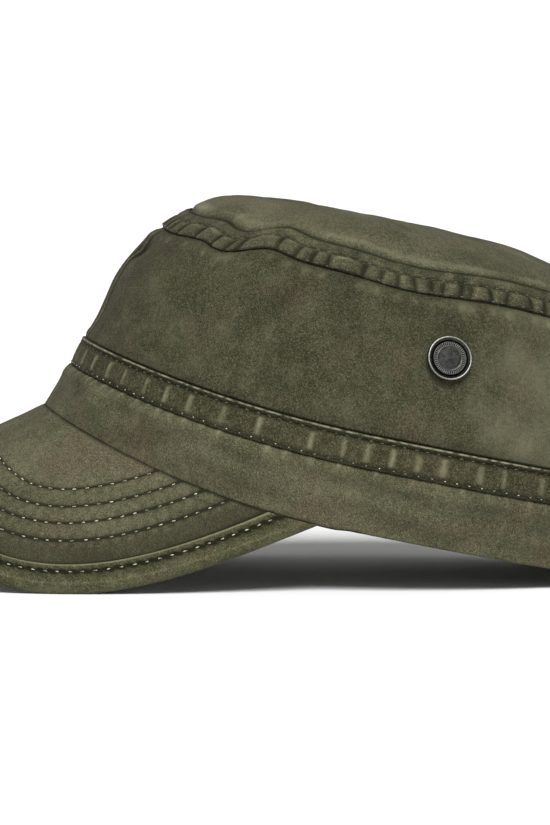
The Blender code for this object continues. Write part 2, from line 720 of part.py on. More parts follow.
def make_button(panel, dark, face, cap):
    """The tack button: a dished cap, a disc in its dish, and a tack through the cloth from behind."""
    place = button_place()
    back = BUTTON_GAP
    front = back + BUTTON_DEPTH
    radius = BUTTON_DIAMETER / 2.0
    dish = BUTTON_FACE_DIAMETER / 2.0 + GAP
    floor = front - BUTTON_RECESS
    socket = TACK_DIAMETER / 2.0 + GAP
    roof = back + TACK_SOCKET_DEPTH
    bevel = BUTTON_BEVEL
    turned("button_cap", (
        (0.0, floor), (dish, floor), (dish, front - bevel), (dish + bevel, front),
        (radius - bevel, front), (radius, front - bevel), (radius, back + bevel), (radius - bevel, back),
        (socket, back), (socket, roof), (0.0, roof)), dark, cap, place)
    disc = BUTTON_FACE_DIAMETER / 2.0
    disc_back = floor + GAP
    disc_front = disc_back + BUTTON_FACE_DEPTH
    turned("button_face", (
        (0.0, disc_front), (disc - bevel, disc_front), (disc, disc_front - bevel), (disc, disc_back),
        (0.0, disc_back)), face, cap, place)
    post = TACK_DIAMETER / 2.0
    washer = TACK_WASHER_DIAMETER / 2.0
    washer_front = -WALL - BUTTON_GAP
    washer_back = washer_front - TACK_WASHER_DEPTH
    turned("button_tack", (
        (0.0, roof - GAP), (post, roof - GAP), (post, washer_front), (washer, washer_front),
        (washer, washer_back), (0.0, washer_back)), dark, cap, place)
    cutter = turned("tack_hole_cutter", (
        (0.0, front), (socket, front), (socket, washer_back), (0.0, washer_back)), dark, cap, place)
    cutter.hide_render = True
    cutter.display_type = "WIRE"
    hole = panel.modifiers.new("tack_hole", "BOOLEAN")
    hole.operation = "DIFFERENCE"
    hole.solver = "EXACT"
    hole.object = cutter


def set_down(cap, lean, ground):
    """Lean the cap back, put it on the ground, and put the origin under the middle of its box."""
    cap.rotation_euler = (-lean, 0.0, 0.0)
    cap.location = (0.0, 0.0, ground)
    bpy.context.view_layer.update()
    corners = []
    for thing in cap.children:
        if thing.type == "MESH" and not thing.hide_render:
            points = np.empty(len(thing.data.vertices) * 3)
            thing.data.vertices.foreach_get("co", points)
            turn = np.array(thing.matrix_world)
            corners.append(points.reshape(-1, 3) @ turn[:3, :3].T + turn[:3, 3])
    points = np.concatenate(corners)
    middle = (points.min(axis=0) + points.max(axis=0)) / 2.0
    cap.location = (-middle[0], -middle[1], ground)
    bpy.context.view_layer.update()


def main():
    clear_scene()
    cap = bpy.data.objects.new("cap_frame", None)
    bpy.context.collection.objects.link(cap)
    cloth = finish("washed_cloth", CLOTH, 0.9, 0.0)
    tape_cloth = finish("tape_cloth", TAPE_CLOTH, 0.9, 0.0)
    binding_cloth = finish("binding_cloth", BINDING_CLOTH, 0.9, 0.0)
    dark = finish("dark_metal", DARK_METAL, 0.35, 1.0)
    face = finish("face_metal", FACE_METAL, 0.5, 1.0)
    lean, ground = resting_lean()
    make_lower_band(cloth, cap, lean, ground)
    panels = make_side_panels(cloth, cap)
    make_crown_top(cloth, cap)
    make_band_tape(tape_cloth, cap)
    make_top_seam_tape(tape_cloth, cap)
    make_visor(cloth, binding_cloth, cap)
    make_button(panels[0], dark, face, cap)
    set_down(cap, lean, ground)


main()
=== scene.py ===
# %% [markdown]
# # A washed field cap
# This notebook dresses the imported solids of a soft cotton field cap. The solids already have the cap's
# main shape. Here every cloth piece is made again as a fine surface with its puckers, hems and stitches,
# and every finish is built from nodes.

import math

import bpy
import numpy as np
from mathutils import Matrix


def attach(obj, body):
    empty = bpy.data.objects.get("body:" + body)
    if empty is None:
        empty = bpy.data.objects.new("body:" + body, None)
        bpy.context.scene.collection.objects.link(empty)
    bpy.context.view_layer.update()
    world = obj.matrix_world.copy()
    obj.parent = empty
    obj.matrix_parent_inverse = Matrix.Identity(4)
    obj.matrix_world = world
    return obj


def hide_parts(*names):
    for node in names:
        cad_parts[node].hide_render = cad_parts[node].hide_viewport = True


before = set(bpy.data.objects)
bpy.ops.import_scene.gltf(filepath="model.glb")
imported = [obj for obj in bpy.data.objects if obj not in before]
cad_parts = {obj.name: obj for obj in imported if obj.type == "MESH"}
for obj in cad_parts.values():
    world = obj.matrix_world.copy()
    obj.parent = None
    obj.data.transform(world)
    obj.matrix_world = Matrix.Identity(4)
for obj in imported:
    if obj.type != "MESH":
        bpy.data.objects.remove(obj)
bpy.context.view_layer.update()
print("solids:", sorted(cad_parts))

# %% [markdown]
# ## The cap's own sizes
# A cap is cut from named sizes: how long and wide the crown is, how deep the band is, how wide its tapes
# are. The solids follow the same sizes, so the fine surfaces lie exactly where the solids are. All
# lengths are in metres and all turns are angles from the front towards the wearer's left.

# %% Name the sizes
CROWN_WIDTH, CROWN_LENGTH, CROWN_HEIGHT = 0.159, 0.203, 0.0853
BAND_HEIGHT, TAPE_WIDTH, STRIP_WIDTH, SEAM_ROLL = 0.0202, 0.0102, 0.0078, 0.0009
DOME_RISE, FRONT_RISE, OVAL_SQUARENESS = 0.0115, 0.0164, 2.08
DOME_FULLNESS_FRONT, DOME_FULLNESS_BACK = 5.4, 2.3
FOLD_DEPTH, TAPE_BED, STRIP_BED, BED_EASE = 0.003, 0.0015, 0.0021, 0.0045
WALL, GAP, STRIP_GAP = 0.0018, 0.0003, 0.0005
VISOR_LENGTH, VISOR_SLOPE, VISOR_EASE = 0.0565, math.radians(36.1), 0.0010
VISOR_WRAP, VISOR_ROOT, VISOR_SQUARENESS = math.radians(78.9), 0.0774, 3.2
VISOR_WALL, VISOR_TIP, BINDING_WIDTH, BINDING_WALL = 0.0012, 0.0050, 0.0089, 0.0010
RIM_LEVEL, BINDING_END, STEP, FLOOR_CLEARANCE = 3.0, 0.2, 0.0001, 0.00002
TAPE_TOP, STRIP_FOOT = BAND_HEIGHT + TAPE_WIDTH, CROWN_HEIGHT - STRIP_WIDTH
CAP_LEAN = math.radians(11.6373)
CAP_PLACE = np.array([0.0, 0.022438, 0.018726])

# Height is a share of CROWN_HEIGHT, wide, front and back are shares of half the width or length
SECTIONS = np.array([
    (0.000, 1.000, 1.017, 0.983, 1.000),
    (0.120, 1.035, 0.990, 0.992, 0.820),
    (0.237, 1.058, 0.972, 0.992, 0.628),
    (0.356, 1.047, 0.949, 0.981, 0.560),
    (0.500, 1.023, 0.904, 0.962, 0.450),
    (0.680, 0.980, 0.869, 0.931, 0.300),
    (0.800, 0.938, 0.831, 0.899, 0.220),
    (0.910, 0.882, 0.779, 0.861, 0.140),
    (1.000, 0.838, 0.704, 0.820, 0.090),
])
# Turn in degrees, height, spread in degrees, tall, and how far out as a share of FOLD_DEPTH
FOLDS = np.array([
    (13.0, 0.83, 9.0, 0.06, -0.40), (-13.0, 0.82, 10.0, 0.07, -0.35), (30.0, 0.62, 10.0, 0.18, 0.25),
    (52.0, 0.70, 12.0, 0.16, -0.30), (76.0, 0.55, 14.0, 0.16, 0.20), (122.0, 0.62, 13.0, 0.18, -0.45),
    (158.0, 0.55, 16.0, 0.20, -0.80), (-150.0, 0.60, 17.0, 0.20, -0.90), (-112.0, 0.52, 13.0, 0.18, 0.35),
    (-84.0, 0.66, 13.0, 0.16, -0.40), (-40.0, 0.62, 12.0, 0.18, 0.30), (28.0, 0.13, 12.0, 0.08, 0.25),
    (-30.0, 0.13, 13.0, 0.08, 0.25), (118.0, 0.10, 16.0, 0.09, -0.40), (-124.0, 0.10, 16.0, 0.09, -0.40),
])
# Turn and spread in degrees, and rise of the top seam as a share of STRIP_WIDTH
WAVES = np.array([
    (22.0, 17.0, -0.22), (44.0, 6.5, -0.33), (56.0, 6.0, 0.23), (91.0, 12.0, -0.22), (128.0, 14.0, -0.14),
    (180.0, 40.0, -0.20), (158.0, 13.0, -0.16), (-164.0, 12.0, 0.14), (-128.0, 13.0, -0.18),
    (-92.0, 12.0, 0.14), (-62.0, 9.0, -0.18), (-46.0, 7.0, 0.20),
])
# Across, along, size and rise of the top panel's slumps
SLUMPS = np.array([
    (0.30, -0.28, 0.26, 0.06), (0.10, -0.42, 0.16, -0.10), (-0.28, -0.20, 0.30, -0.12),
    (0.22, 0.30, 0.34, -0.08), (-0.18, 0.42, 0.26, 0.08),
])
print("girth tables:", len(SECTIONS), "sections,", len(FOLDS), "folds,", len(WAVES), "waves")

# %% [markdown]
# ## The crown as one surface
# The side of the crown is a stack of ovals, one for each height, blended by smooth curves. Soft folds and
# the beds under the tapes move the cloth in or out. Writing it as a function of turn and height lets each
# cloth piece be a patch of the same surface, so the pieces meet without gaps.


# %% Make the crown's surface
def smooth_through(at, stations, values):
    """Cubic pieces through the values, whose slopes are the mean slopes at the stations."""
    slopes = np.gradient(values, stations)
    left = np.clip(np.searchsorted(stations, at, side="right") - 1, 0, len(stations) - 2)
    span = stations[left + 1] - stations[left]
    t = (at - stations[left]) / span
    rise = t * t * (3.0 - 2.0 * t)
    start_slope = t * (1.0 - t) ** 2 * span * slopes[left]
    end_slope = t * t * (t - 1.0) * span * slopes[left + 1]
    return values[left] * (1.0 - rise) + values[left + 1] * rise + start_slope + end_slope


def signed_power(value, power):
    """The value's size raised to a power, with its sign kept."""
    return np.sign(value) * np.abs(value) ** power


def turn_gap(turn, centre):
    """The shorter way round from a centre angle to the turn."""
    return (turn - centre + np.pi) % (2.0 * np.pi) - np.pi


def hump(distance):
    """A bell curve: e to the power of minus the distance squared."""
    return np.exp(-distance * distance)


def ease(value):
    """A smooth step: 3t squared minus 2t cubed between 0 and 1."""
    share = np.clip(value, 0.0, 1.0)
    return share * share * (3.0 - 2.0 * share)


def wave(turn):
    """The top seam's rise: a sum of humps round the crown."""
    humps = hump(turn_gap(turn[..., None], np.radians(WAVES[:, 0])) / np.radians(WAVES[:, 1]))
    return STRIP_WIDTH * humps @ WAVES[:, 2]


def fold(turn, share):
    """The soft folds: for each, a hump round the crown times a hump up it, times its depth."""
    sideways = turn_gap(turn[..., None], np.radians(FOLDS[:, 0])) / np.radians(FOLDS[:, 2])
    upwards = (share[..., None] - FOLDS[:, 1]) / FOLDS[:, 3]
    return FOLD_DEPTH * (hump(sideways) * hump(upwards)) @ FOLDS[:, 4]


def bed(height):
    """How far the cloth gives way under the tape and the strip, easing out beside each."""
    tape = ease((height - BAND_HEIGHT) / BED_EASE + 1.0) * ease((TAPE_TOP - height) / BED_EASE + 1.0)
    strip = ease((height - CROWN_HEIGHT + STRIP_WIDTH) / BED_EASE + 1.0)
    return TAPE_BED * tape + STRIP_BED * strip


def crown(turn, height):
    """Half ovals as wide and long as SECTIONS says, moved by folds and beds, lifted at the front."""
    turn, height = np.broadcast_arrays(turn, height)
    share = height / CROWN_HEIGHT
    wide, front, back, lift = (smooth_through(share, SECTIONS[:, 0], SECTIONS[:, k]) for k in range(1, 5))
    x = signed_power(np.sin(turn), 2.0 / OVAL_SQUARENESS) * wide * CROWN_WIDTH / 2.0
    length = np.where(np.cos(turn) > 0.0, front, back)
    y = -signed_power(np.cos(turn), 2.0 / OVAL_SQUARENESS) * length * CROWN_LENGTH / 2.0
    out = 1.0 + (fold(turn, share) - bed(height)) / np.hypot(x, y)
    z = height + FRONT_RISE * lift * np.maximum(np.cos(turn), 0.0) ** 2
    return np.stack([x * out, y * out, z], axis=-1)


def dome(turn, inward):
    """The seam's oval shrunk to a point while it rises to the middle, with the slumps added."""
    edge = crown(turn, CROWN_HEIGHT + wave(turn))
    out = 1.0 - inward
    x, y = edge[..., 0] * out, edge[..., 1] * out
    middle = CROWN_HEIGHT + DOME_RISE
    forward = (1.0 + np.cos(turn)) / 2.0
    fullness = DOME_FULLNESS_BACK + (DOME_FULLNESS_FRONT - DOME_FULLNESS_BACK) * forward
    z = edge[..., 2] + (middle - edge[..., 2]) * (1.0 - np.abs(out) ** fullness)
    sideways = x[..., None] - SLUMPS[:, 0] * CROWN_WIDTH / 2.0
    away = np.hypot(sideways, y[..., None] - SLUMPS[:, 1] * CROWN_LENGTH / 2.0)
    slump = hump(away / (SLUMPS[:, 2] * CROWN_WIDTH / 2.0)) @ SLUMPS[:, 3]
    return np.stack([x, y, z + DOME_RISE * slump * (1.0 - np.abs(out) ** 2)], axis=-1)


def normals(surface, first, second):
    """Unit normals: the cross product of two short steps on the surface, straight up at a pole."""
    along = surface(first + STEP, second) - surface(first - STEP, second)
    upward = surface(first, second + STEP) - surface(first, second - STEP)
    normal = np.cross(along, upward)
    length = np.linalg.norm(normal, axis=-1, keepdims=True)
    return np.where(length > 1e-16, normal / np.maximum(length, 1e-30), np.array([0.0, 0.0, 1.0]))


def crown_skin(turn, height, out):
    """The crown moved along its normal by out; the normal is level at the rim."""
    normal = normals(crown, turn, height)
    normal[..., 2] = normal[..., 2] * np.clip(RIM_LEVEL * height / BAND_HEIGHT, 0.0, 1.0)
    normal = normal / np.linalg.norm(normal, axis=-1, keepdims=True)
    return crown(turn, height) + normal * np.asarray(out)[..., None]


def dome_skin(turn, inward, out):
    """The dome moved along its normal by out."""
    return dome(turn, inward) + normals(dome, turn, inward) * np.asarray(out)[..., None]


def placed(points):
    """From the cap's own frame to the world: leaned back about the X axis, then set down."""
    cos, sin = math.cos(CAP_LEAN), math.sin(CAP_LEAN)
    y, z = points[..., 1], points[..., 2]
    return np.stack([points[..., 0], y * cos + z * sin, z * cos - y * sin], axis=-1) + CAP_PLACE


def settled(points, heights):
    """The rim's back gives way: what would sink through the ground is lifted, fading up the band."""
    sunk = np.maximum(-placed(points[0])[..., 2], 0.0)
    fade = np.clip(1.0 - heights / BAND_HEIGHT, 0.0, 1.0) ** 2
    up = np.array([0.0, -math.sin(CAP_LEAN), math.cos(CAP_LEAN)])
    return points + (sunk[None, :] * fade[:, None])[..., None] * up


def whole_turn(count):
    """Even turns round the circle, from the front and without the front again at the end."""
    return np.linspace(0.0, 2.0 * np.pi, count + 1)[:-1]


def lengths_along(points):
    """How far along a line each of its points is."""
    return np.concatenate([[0.0], np.cumsum(np.linalg.norm(np.diff(points, axis=0), axis=1))])


ring = np.linspace(0.0, 2.0 * np.pi, 4001)
girth = lengths_along(crown(ring, np.zeros(ring.shape)))[-1]
print("girth at the rim:", round(float(girth) * 1000.0, 1), "mm")

# %% [markdown]
# ## The visor as part of a round pipe
# A visor is cut flat and bent, so it is a piece of a pipe that points forwards and down. On the pipe each
# point has an angle and a run, and the cut outline is drawn on the unrolled pipe as a squared oval.


# %% Make the visor's surface
VISOR_RADIUS = CROWN_WIDTH / 2.0 + VISOR_EASE
VISOR_FORWARD = np.array([0.0, -math.cos(VISOR_SLOPE), -math.sin(VISOR_SLOPE)])
VISOR_UP = np.array([0.0, -math.sin(VISOR_SLOPE), math.cos(VISOR_SLOPE)])
VISOR_THICK = 2.0 * VISOR_WALL + GAP
VISOR_START = crown(np.zeros(1), np.zeros(1))[0] - np.array([0.0, 0.0, GAP])


def pipe(angle, run, out):
    """The start, plus the run forwards, plus a circle of the pipe's radius and out."""
    angle, run, out = np.broadcast_arrays(angle, run, out)
    radius = VISOR_RADIUS + out
    up = radius * np.cos(angle) - VISOR_RADIUS
    point = VISOR_START + run[..., None] * VISOR_FORWARD + up[..., None] * VISOR_UP
    point[..., 0] = point[..., 0] + radius * np.sin(angle)
    return point


def seam(turn, out):
    """Where the visor's layer meets the rim's level at that turn: its angle, run and drop."""
    rim = np.zeros(np.shape(turn))
    along = crown(turn + STEP, rim) - crown(turn - STEP, rim)
    outward = np.stack([along[..., 1], -along[..., 0], rim], axis=-1)
    outward = outward / np.linalg.norm(outward, axis=-1, keepdims=True)
    offset = crown(turn, rim) - VISOR_START
    x = offset[..., 0]
    up = VISOR_RADIUS * np.cos(np.arcsin(x / VISOR_RADIUS)) - VISOR_RADIUS
    run = (-offset[..., 1] - up * math.sin(VISOR_SLOPE)) / math.cos(VISOR_SLOPE)
    level = up * math.cos(VISOR_SLOPE) - run * math.sin(VISOR_SLOPE)
    start = np.stack([x, offset[..., 1], level], axis=-1)
    height, tilt = start @ VISOR_UP + VISOR_RADIUS, outward @ VISOR_UP
    a = outward[..., 0] ** 2 + tilt ** 2
    b = -2.0 * (x * outward[..., 0] + height * tilt)
    c = x * x + height * height - (VISOR_RADIUS + out) ** 2
    inward = (-b - np.sqrt(b * b - 4.0 * a * c)) / (2.0 * a)
    point = start - inward[..., None] * outward
    angle = np.arctan2(point[..., 0], point @ VISOR_UP + VISOR_RADIUS)
    return angle, point @ VISOR_FORWARD, offset[..., 2] - GAP - level


SEAM_TURNS = np.radians(np.linspace(0.0, 88.0, 177))
SEAM_ANGLES, SEAM_RUNS, SEAM_DROPS = seam(SEAM_TURNS, 0.0)


def visor_surface(angle, run, out):
    """The pipe, moved up or down to meet the rim by a drop that fades along the cloth."""
    away = np.abs(angle)
    ahead = run - np.interp(away, SEAM_ANGLES, SEAM_RUNS)
    fade = np.clip(1.0 - ahead / VISOR_LENGTH, 0.0, 1.0) ** 2
    point = pipe(angle, run, out)
    point[..., 2] = point[..., 2] + np.interp(away, SEAM_ANGLES, SEAM_DROPS) * fade
    return point


def visor_edge(bend):
    """The flat outline: across and along are powers of the sine and cosine of the bend."""
    half, reach, power = VISOR_RADIUS * VISOR_WRAP, VISOR_LENGTH + VISOR_ROOT, 2.0 / VISOR_SQUARENESS
    return half * signed_power(np.sin(bend), power), reach * np.abs(np.cos(bend)) ** power - VISOR_ROOT


BENDS = np.pi / 2.0 * np.linspace(0.0, 1.0, 500) ** 1.6
EDGE_RUN = np.concatenate([[0.0], np.cumsum(np.hypot(*np.diff(np.array(visor_edge(BENDS)), axis=1)))])


def visor_outline(way, inset):
    """The outline moved in by the inset, at a share of its length from the front to a side."""
    bend = np.interp(np.abs(way), EDGE_RUN / EDGE_RUN[-1], BENDS) * np.sign(way)
    ahead, behind, middle = visor_edge(bend + STEP), visor_edge(bend - STEP), visor_edge(bend)
    across, along = ahead[0] - behind[0], ahead[1] - behind[1]
    length = np.hypot(across, along)
    return (middle[0] + along / length * inset) / VISOR_RADIUS, middle[1] - across / length * inset


def outline_end(inset):
    """The share of the inset outline at which it reaches the seam, and the turn there."""
    ways = np.linspace(0.3, 0.99, 600)
    angle, run = visor_outline(ways, inset)
    ahead = run - np.interp(angle, SEAM_ANGLES, SEAM_RUNS)
    first = int(np.argmax(ahead < 0.0))
    share = ahead[first - 1] / (ahead[first - 1] - ahead[first])
    way = ways[first - 1] + share * (ways[first] - ways[first - 1])
    return way, float(np.interp(visor_outline(way, inset)[0], SEAM_ANGLES, SEAM_TURNS))


print("visor edge:", round(float(EDGE_RUN[-1]) * 2000.0), "mm of outline, radius",
      round(VISOR_RADIUS * 1000.0, 1), "mm")

# %% [markdown]
# ## From grids of points to closed cloth
# A woven cloth has two faces and an edge. Each piece here is two grids of points, the face that shows and
# the plain back, joined round their edges. The faces are listed with array arithmetic, turned so that they
# point outwards, and given a UV map in metres, so that the weave keeps its size everywhere.


# %% Build closed meshes
def mesh_piece(name, points, faces, chart, material, wear_and_shading=None, wrap=0.0, columns=0):
    """One mesh from points and lists of faces; if its volume is negative, every face is reversed."""
    corners = np.array([c for face in faces for c in face], np.int64)
    counts = np.array([len(face) for face in faces])
    starts = np.concatenate([[0], np.cumsum(counts)[:-1]])
    fan_face = np.repeat(np.arange(len(counts)), counts - 2)
    step_in = np.arange(len(fan_face)) - np.repeat(np.cumsum(counts - 2) - (counts - 2), counts - 2)
    a = points[corners[starts[fan_face]]]
    b = points[corners[starts[fan_face] + step_in + 1]]
    c = points[corners[starts[fan_face] + step_in + 2]]
    volume = (a * np.cross(b, c)).sum() / 6.0
    if volume < 0.0:
        faces = [face[::-1] for face in faces]
    mesh = bpy.data.meshes.new(name)
    mesh.from_pydata(points.tolist(), [], faces)
    mesh.shade_smooth()
    index = np.empty(len(mesh.loops), np.int32)
    mesh.loops.foreach_get("vertex_index", index)
    uv = chart[index]
    if wrap:
        first = np.zeros(len(mesh.polygons), np.int32)
        total = np.zeros(len(mesh.polygons), np.int32)
        mesh.polygons.foreach_get("loop_start", first)
        mesh.polygons.foreach_get("loop_total", total)
        owner = np.repeat(np.arange(len(first)), total)
        column = index % columns
        last = np.zeros(len(first), bool)
        last[owner[column == columns - 1]] = True
        uv[last[owner] & (column == 0), 0] += wrap
    mesh.uv_layers.new(name="cloth").data.foreach_set("uv", uv.astype(np.float32).ravel())
    # The attribute holds rubbed wear and painted highlight above 0 and painted shade below 0
    toned = np.zeros(len(points)) if wear_and_shading is None else wear_and_shading
    mesh.attributes.new("wear_and_shading", "FLOAT", "POINT").data.foreach_set("value", toned.astype(np.float32))
    mesh.materials.append(material)
    piece = bpy.data.objects.new(name, mesh)
    bpy.context.scene.collection.objects.link(piece)
    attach(piece, "root")
    print(f"{name}: {int((counts - 2).sum())} triangles, {abs(volume) * 1e6:.1f} cm3")
    return piece


def grid_quads(rows, columns, joined):
    """Quads between the rows of a grid; if it is joined, the last column meets the first."""
    col = np.arange(columns if joined else columns - 1)
    other = (col + 1) % columns
    row = np.arange(rows - 1)[:, None] * columns
    quads = np.stack([row + col, row + other, row + columns + other, row + columns + col], axis=-1)
    return quads.reshape(-1, 4)


def fan(start, columns, tip):
    """Triangles from each step of a ring of points, which begins at a number, to the tip's number."""
    col = np.arange(columns)
    return np.stack([start + col, start + (col + 1) % columns, np.full(columns, tip)], axis=-1)


def wall_faces(rows_out, rows_in, columns, joined):
    """Quads of both grids, of the two rims between them, and one many-sided face at each open end."""
    start_in = rows_out * columns
    top_out, top_in = (rows_out - 1) * columns, start_in + (rows_in - 1) * columns
    col = np.arange(columns if joined else columns - 1)
    other = (col + 1) % columns
    foot = np.stack([other, col, start_in + col, start_in + other], axis=-1)
    head = np.stack([top_out + col, top_out + other, top_in + other, top_in + col], axis=-1)
    outside = grid_quads(rows_out, columns, joined)
    inside = start_in + grid_quads(rows_in, columns, joined)[:, ::-1]
    faces = np.concatenate([outside, inside, foot, head]).tolist()
    if not joined:
        for edge in (0, columns - 1):
            up_out = (np.arange(rows_out) * columns + edge).tolist()
            up_in = (start_in + np.arange(rows_in) * columns + edge).tolist()
            end = up_out + up_in[::-1]
            faces.append(end[::-1] if edge else end)
    return faces


def cloth_wall(name, outer, inner, chart, material, wear_and_shading, joined, wrap=0.0):
    """A cloth wall between an outer and an inner grid with the same columns, kept above the floor."""
    rows_out, columns = outer.shape[:2]
    rows_in = inner.shape[0]
    points = np.concatenate([outer.reshape(-1, 3), inner.reshape(-1, 3)])
    up = np.linspace(chart[0, 0, 1], chart[-1, 0, 1], rows_in)[:, None]
    back = np.stack(np.broadcast_arrays(chart[0, :, 0], up), axis=-1)
    flat = np.concatenate([chart.reshape(-1, 2), back.reshape(-1, 2)])
    toned = np.concatenate([wear_and_shading.ravel(), np.zeros(rows_in * columns)])
    faces = wall_faces(rows_out, rows_in, columns, joined)
    points[:, 2] = np.maximum(points[:, 2], FLOOR_CLEARANCE)
    return mesh_piece(name, points, faces, flat, material, toned, wrap if joined else 0.0, columns)


def ripple(points, size, seed):
    """Soft unevenness: the mean of 28 plane waves whose lengths lie round the size, about -1 to 1."""
    chance = np.random.default_rng(seed)
    ways = chance.normal(size=(28, 3))
    ways = ways / np.linalg.norm(ways, axis=1, keepdims=True)
    lengths = size * chance.uniform(0.7, 1.6, 28)
    starts = chance.uniform(0.0, 2.0 * np.pi, 28)
    return np.sin(points @ (ways / lengths[:, None] * 2.0 * np.pi).T + starts).mean(axis=-1) * 3.2


print("helpers ready")

# %% [markdown]
# ## Finishes of woven cotton
# Garment-washed cotton is never one colour. The dye leaves soft blotches, some of them brownish, and the
# weave gives a fine grain. The blotches are three sizes of noise on Object coordinates. The weave is a
# diagonal wave on the cloth's own UV map. Raised cloth is painted paler, for rubbed wear and as painted
# highlight, and creases, grooves and cloth under overhangs get painted shade, from an attribute that each
# surface stores as it is made.


# %% Mix the finishes
def node(tree, kind, **values):
    """A node of a kind, with its properties or the defaults of its sockets set by name."""
    made = tree.nodes.new(kind)
    for key, value in values.items():
        if key in made.inputs:
            made.inputs[key].default_value = value
        else:
            setattr(made, key, value)
    return made


def noise(tree, coordinates, scale, detail, roughness=0.55):
    """Noise on given coordinates, its factor between 0 and 1."""
    made = node(tree, "ShaderNodeTexNoise", Scale=scale, Detail=detail, Roughness=roughness)
    tree.links.new(coordinates, made.inputs["Vector"])
    return made.outputs["Fac"]


def spread(tree, factor, low, high, to_low=0.0, to_high=1.0):
    """A Map Range: low and high of the factor become to_low and to_high."""
    made = node(tree, "ShaderNodeMapRange")
    made.inputs["From Min"].default_value, made.inputs["From Max"].default_value = low, high
    made.inputs["To Min"].default_value, made.inputs["To Max"].default_value = to_low, to_high
    tree.links.new(factor, made.inputs["Value"])
    return made.outputs["Result"]


def blend_colours(tree, factor, first, second, mode="MIX"):
    """A colour mix; each side is a colour or another node's output."""
    made = node(tree, "ShaderNodeMix", data_type="RGBA", blend_type=mode)
    for socket, value in ((made.inputs[0], factor), (made.inputs[6], first), (made.inputs[7], second)):
        if isinstance(value, bpy.types.NodeSocket):
            tree.links.new(value, socket)
        elif isinstance(value, tuple):
            socket.default_value = (*value, 1.0)
        else:
            socket.default_value = value
    return made.outputs[2]


def arithmetic(tree, operation, first, second):
    """A Math node on two sockets or numbers."""
    made = node(tree, "ShaderNodeMath", operation=operation)
    for socket, value in zip(made.inputs, (first, second)):
        if isinstance(value, bpy.types.NodeSocket):
            tree.links.new(value, socket)
        else:
            socket.default_value = value
    return made.outputs[0]


def new_material(name):
    """A new material with nodes, its node tree and its shader."""
    material = bpy.data.materials.new(name)
    material.use_nodes = True
    return material, material.node_tree, material.node_tree.nodes["Principled BSDF"]


def bump_from(tree, shader, height, strength, distance):
    """Fine relief that only the light sees: a Bump node from a height to the shader."""
    bump = node(tree, "ShaderNodeBump", Strength=strength, Distance=distance)
    tree.links.new(height, bump.inputs["Height"])
    tree.links.new(bump.outputs["Normal"], shader.inputs["Normal"])


def woven_cloth(name, dark, middle, light, brown, pale, grain=1.0):
    """A cotton finish: blotches of four colours, a fine grain, paler ridges (wear and painted highlight),
    painted shade in creases.
    """
    material, tree, shader = new_material(name)
    shader.inputs["Sheen Weight"].default_value = 0.015
    shader.inputs["Sheen Roughness"].default_value = 0.50
    shader.inputs["Specular IOR Level"].default_value = 0.06
    place = node(tree, "ShaderNodeTexCoord").outputs["Object"]
    chart = node(tree, "ShaderNodeUVMap", uv_map="cloth").outputs["UV"]
    wear_and_shading = node(tree, "ShaderNodeAttribute", attribute_name="wear_and_shading").outputs["Fac"]
    deep = tuple(value * 0.30 for value in dark)

    # Blotches of 45, 12 and 5 mm, brown patches of 16 mm, flecks of 1.6 mm and threads of 0.4 mm
    broad, small = noise(tree, place, 22.0, 4.0), noise(tree, place, 80.0, 4.0)
    blotch, patch = noise(tree, place, 210.0, 4.0, 0.6), noise(tree, place, 62.0, 4.0)
    fleck, thread = noise(tree, place, 620.0, 4.0, 0.7), noise(tree, place, 2300.0, 2.0, 0.8)

    # Each tint: its paint, its noise, where in the noise it starts and is full, and how strong it is
    colour = dark
    for paint, factor, start, full, strength in (
            (middle, broad, 0.38, 0.60, 1.0),
            (light, small, 0.42, 0.68, 0.7),
            (pale, blotch, 0.50, 0.76, 0.22 * grain),
            (dark, blotch, 0.48, 0.26, 0.34 * grain),
            (brown, patch, 0.50, 0.70, 0.70),
            (pale, fleck, 0.50, 0.78, 0.36 * grain),
            (deep, fleck, 0.50, 0.24, 0.42 * grain),
            (pale, thread, 0.52, 0.76, 0.95 * grain),
            (deep, thread, 0.50, 0.26, 0.90 * grain)):
        colour = blend_colours(tree, spread(tree, factor, start, full, 0.0, strength), colour, paint)

    # The attribute: above 0 the cloth is painted paler, for rubbed wear and as painted highlight on raised
    # cloth; below 0 it gets painted shade
    broken = spread(tree, fleck, 0.25, 0.60, 0.6, 1.0)
    tone_shift = arithmetic(tree, "MULTIPLY", spread(tree, wear_and_shading, 0.03, 1.0), broken)
    colour = blend_colours(tree, tone_shift, colour, pale)
    colour = blend_colours(tree, spread(tree, wear_and_shading, -0.03, -1.0, 0.0, 0.94), colour, deep)
    tree.links.new(colour, shader.inputs["Base Color"])
    tree.links.new(spread(tree, fleck, 0.3, 0.7, 0.82, 0.97), shader.inputs["Roughness"])

    # A diagonal weave with a period of 0.45 mm, on top of uneven threads
    twill = node(tree, "ShaderNodeTexWave", wave_type="BANDS", bands_direction="DIAGONAL",
                 Scale=0.444 / 0.00045, Distortion=1.6, Detail=2.0)
    twill.inputs["Detail Scale"].default_value = 2.2
    tree.links.new(chart, twill.inputs["Vector"])
    height = arithmetic(tree, "ADD", arithmetic(tree, "MULTIPLY", fleck, 0.8), thread)
    height = arithmetic(tree, "ADD", height, arithmetic(tree, "MULTIPLY", twill.outputs["Fac"], 0.30))
    bump_from(tree, shader, height, 0.60, 0.00025)
    return material


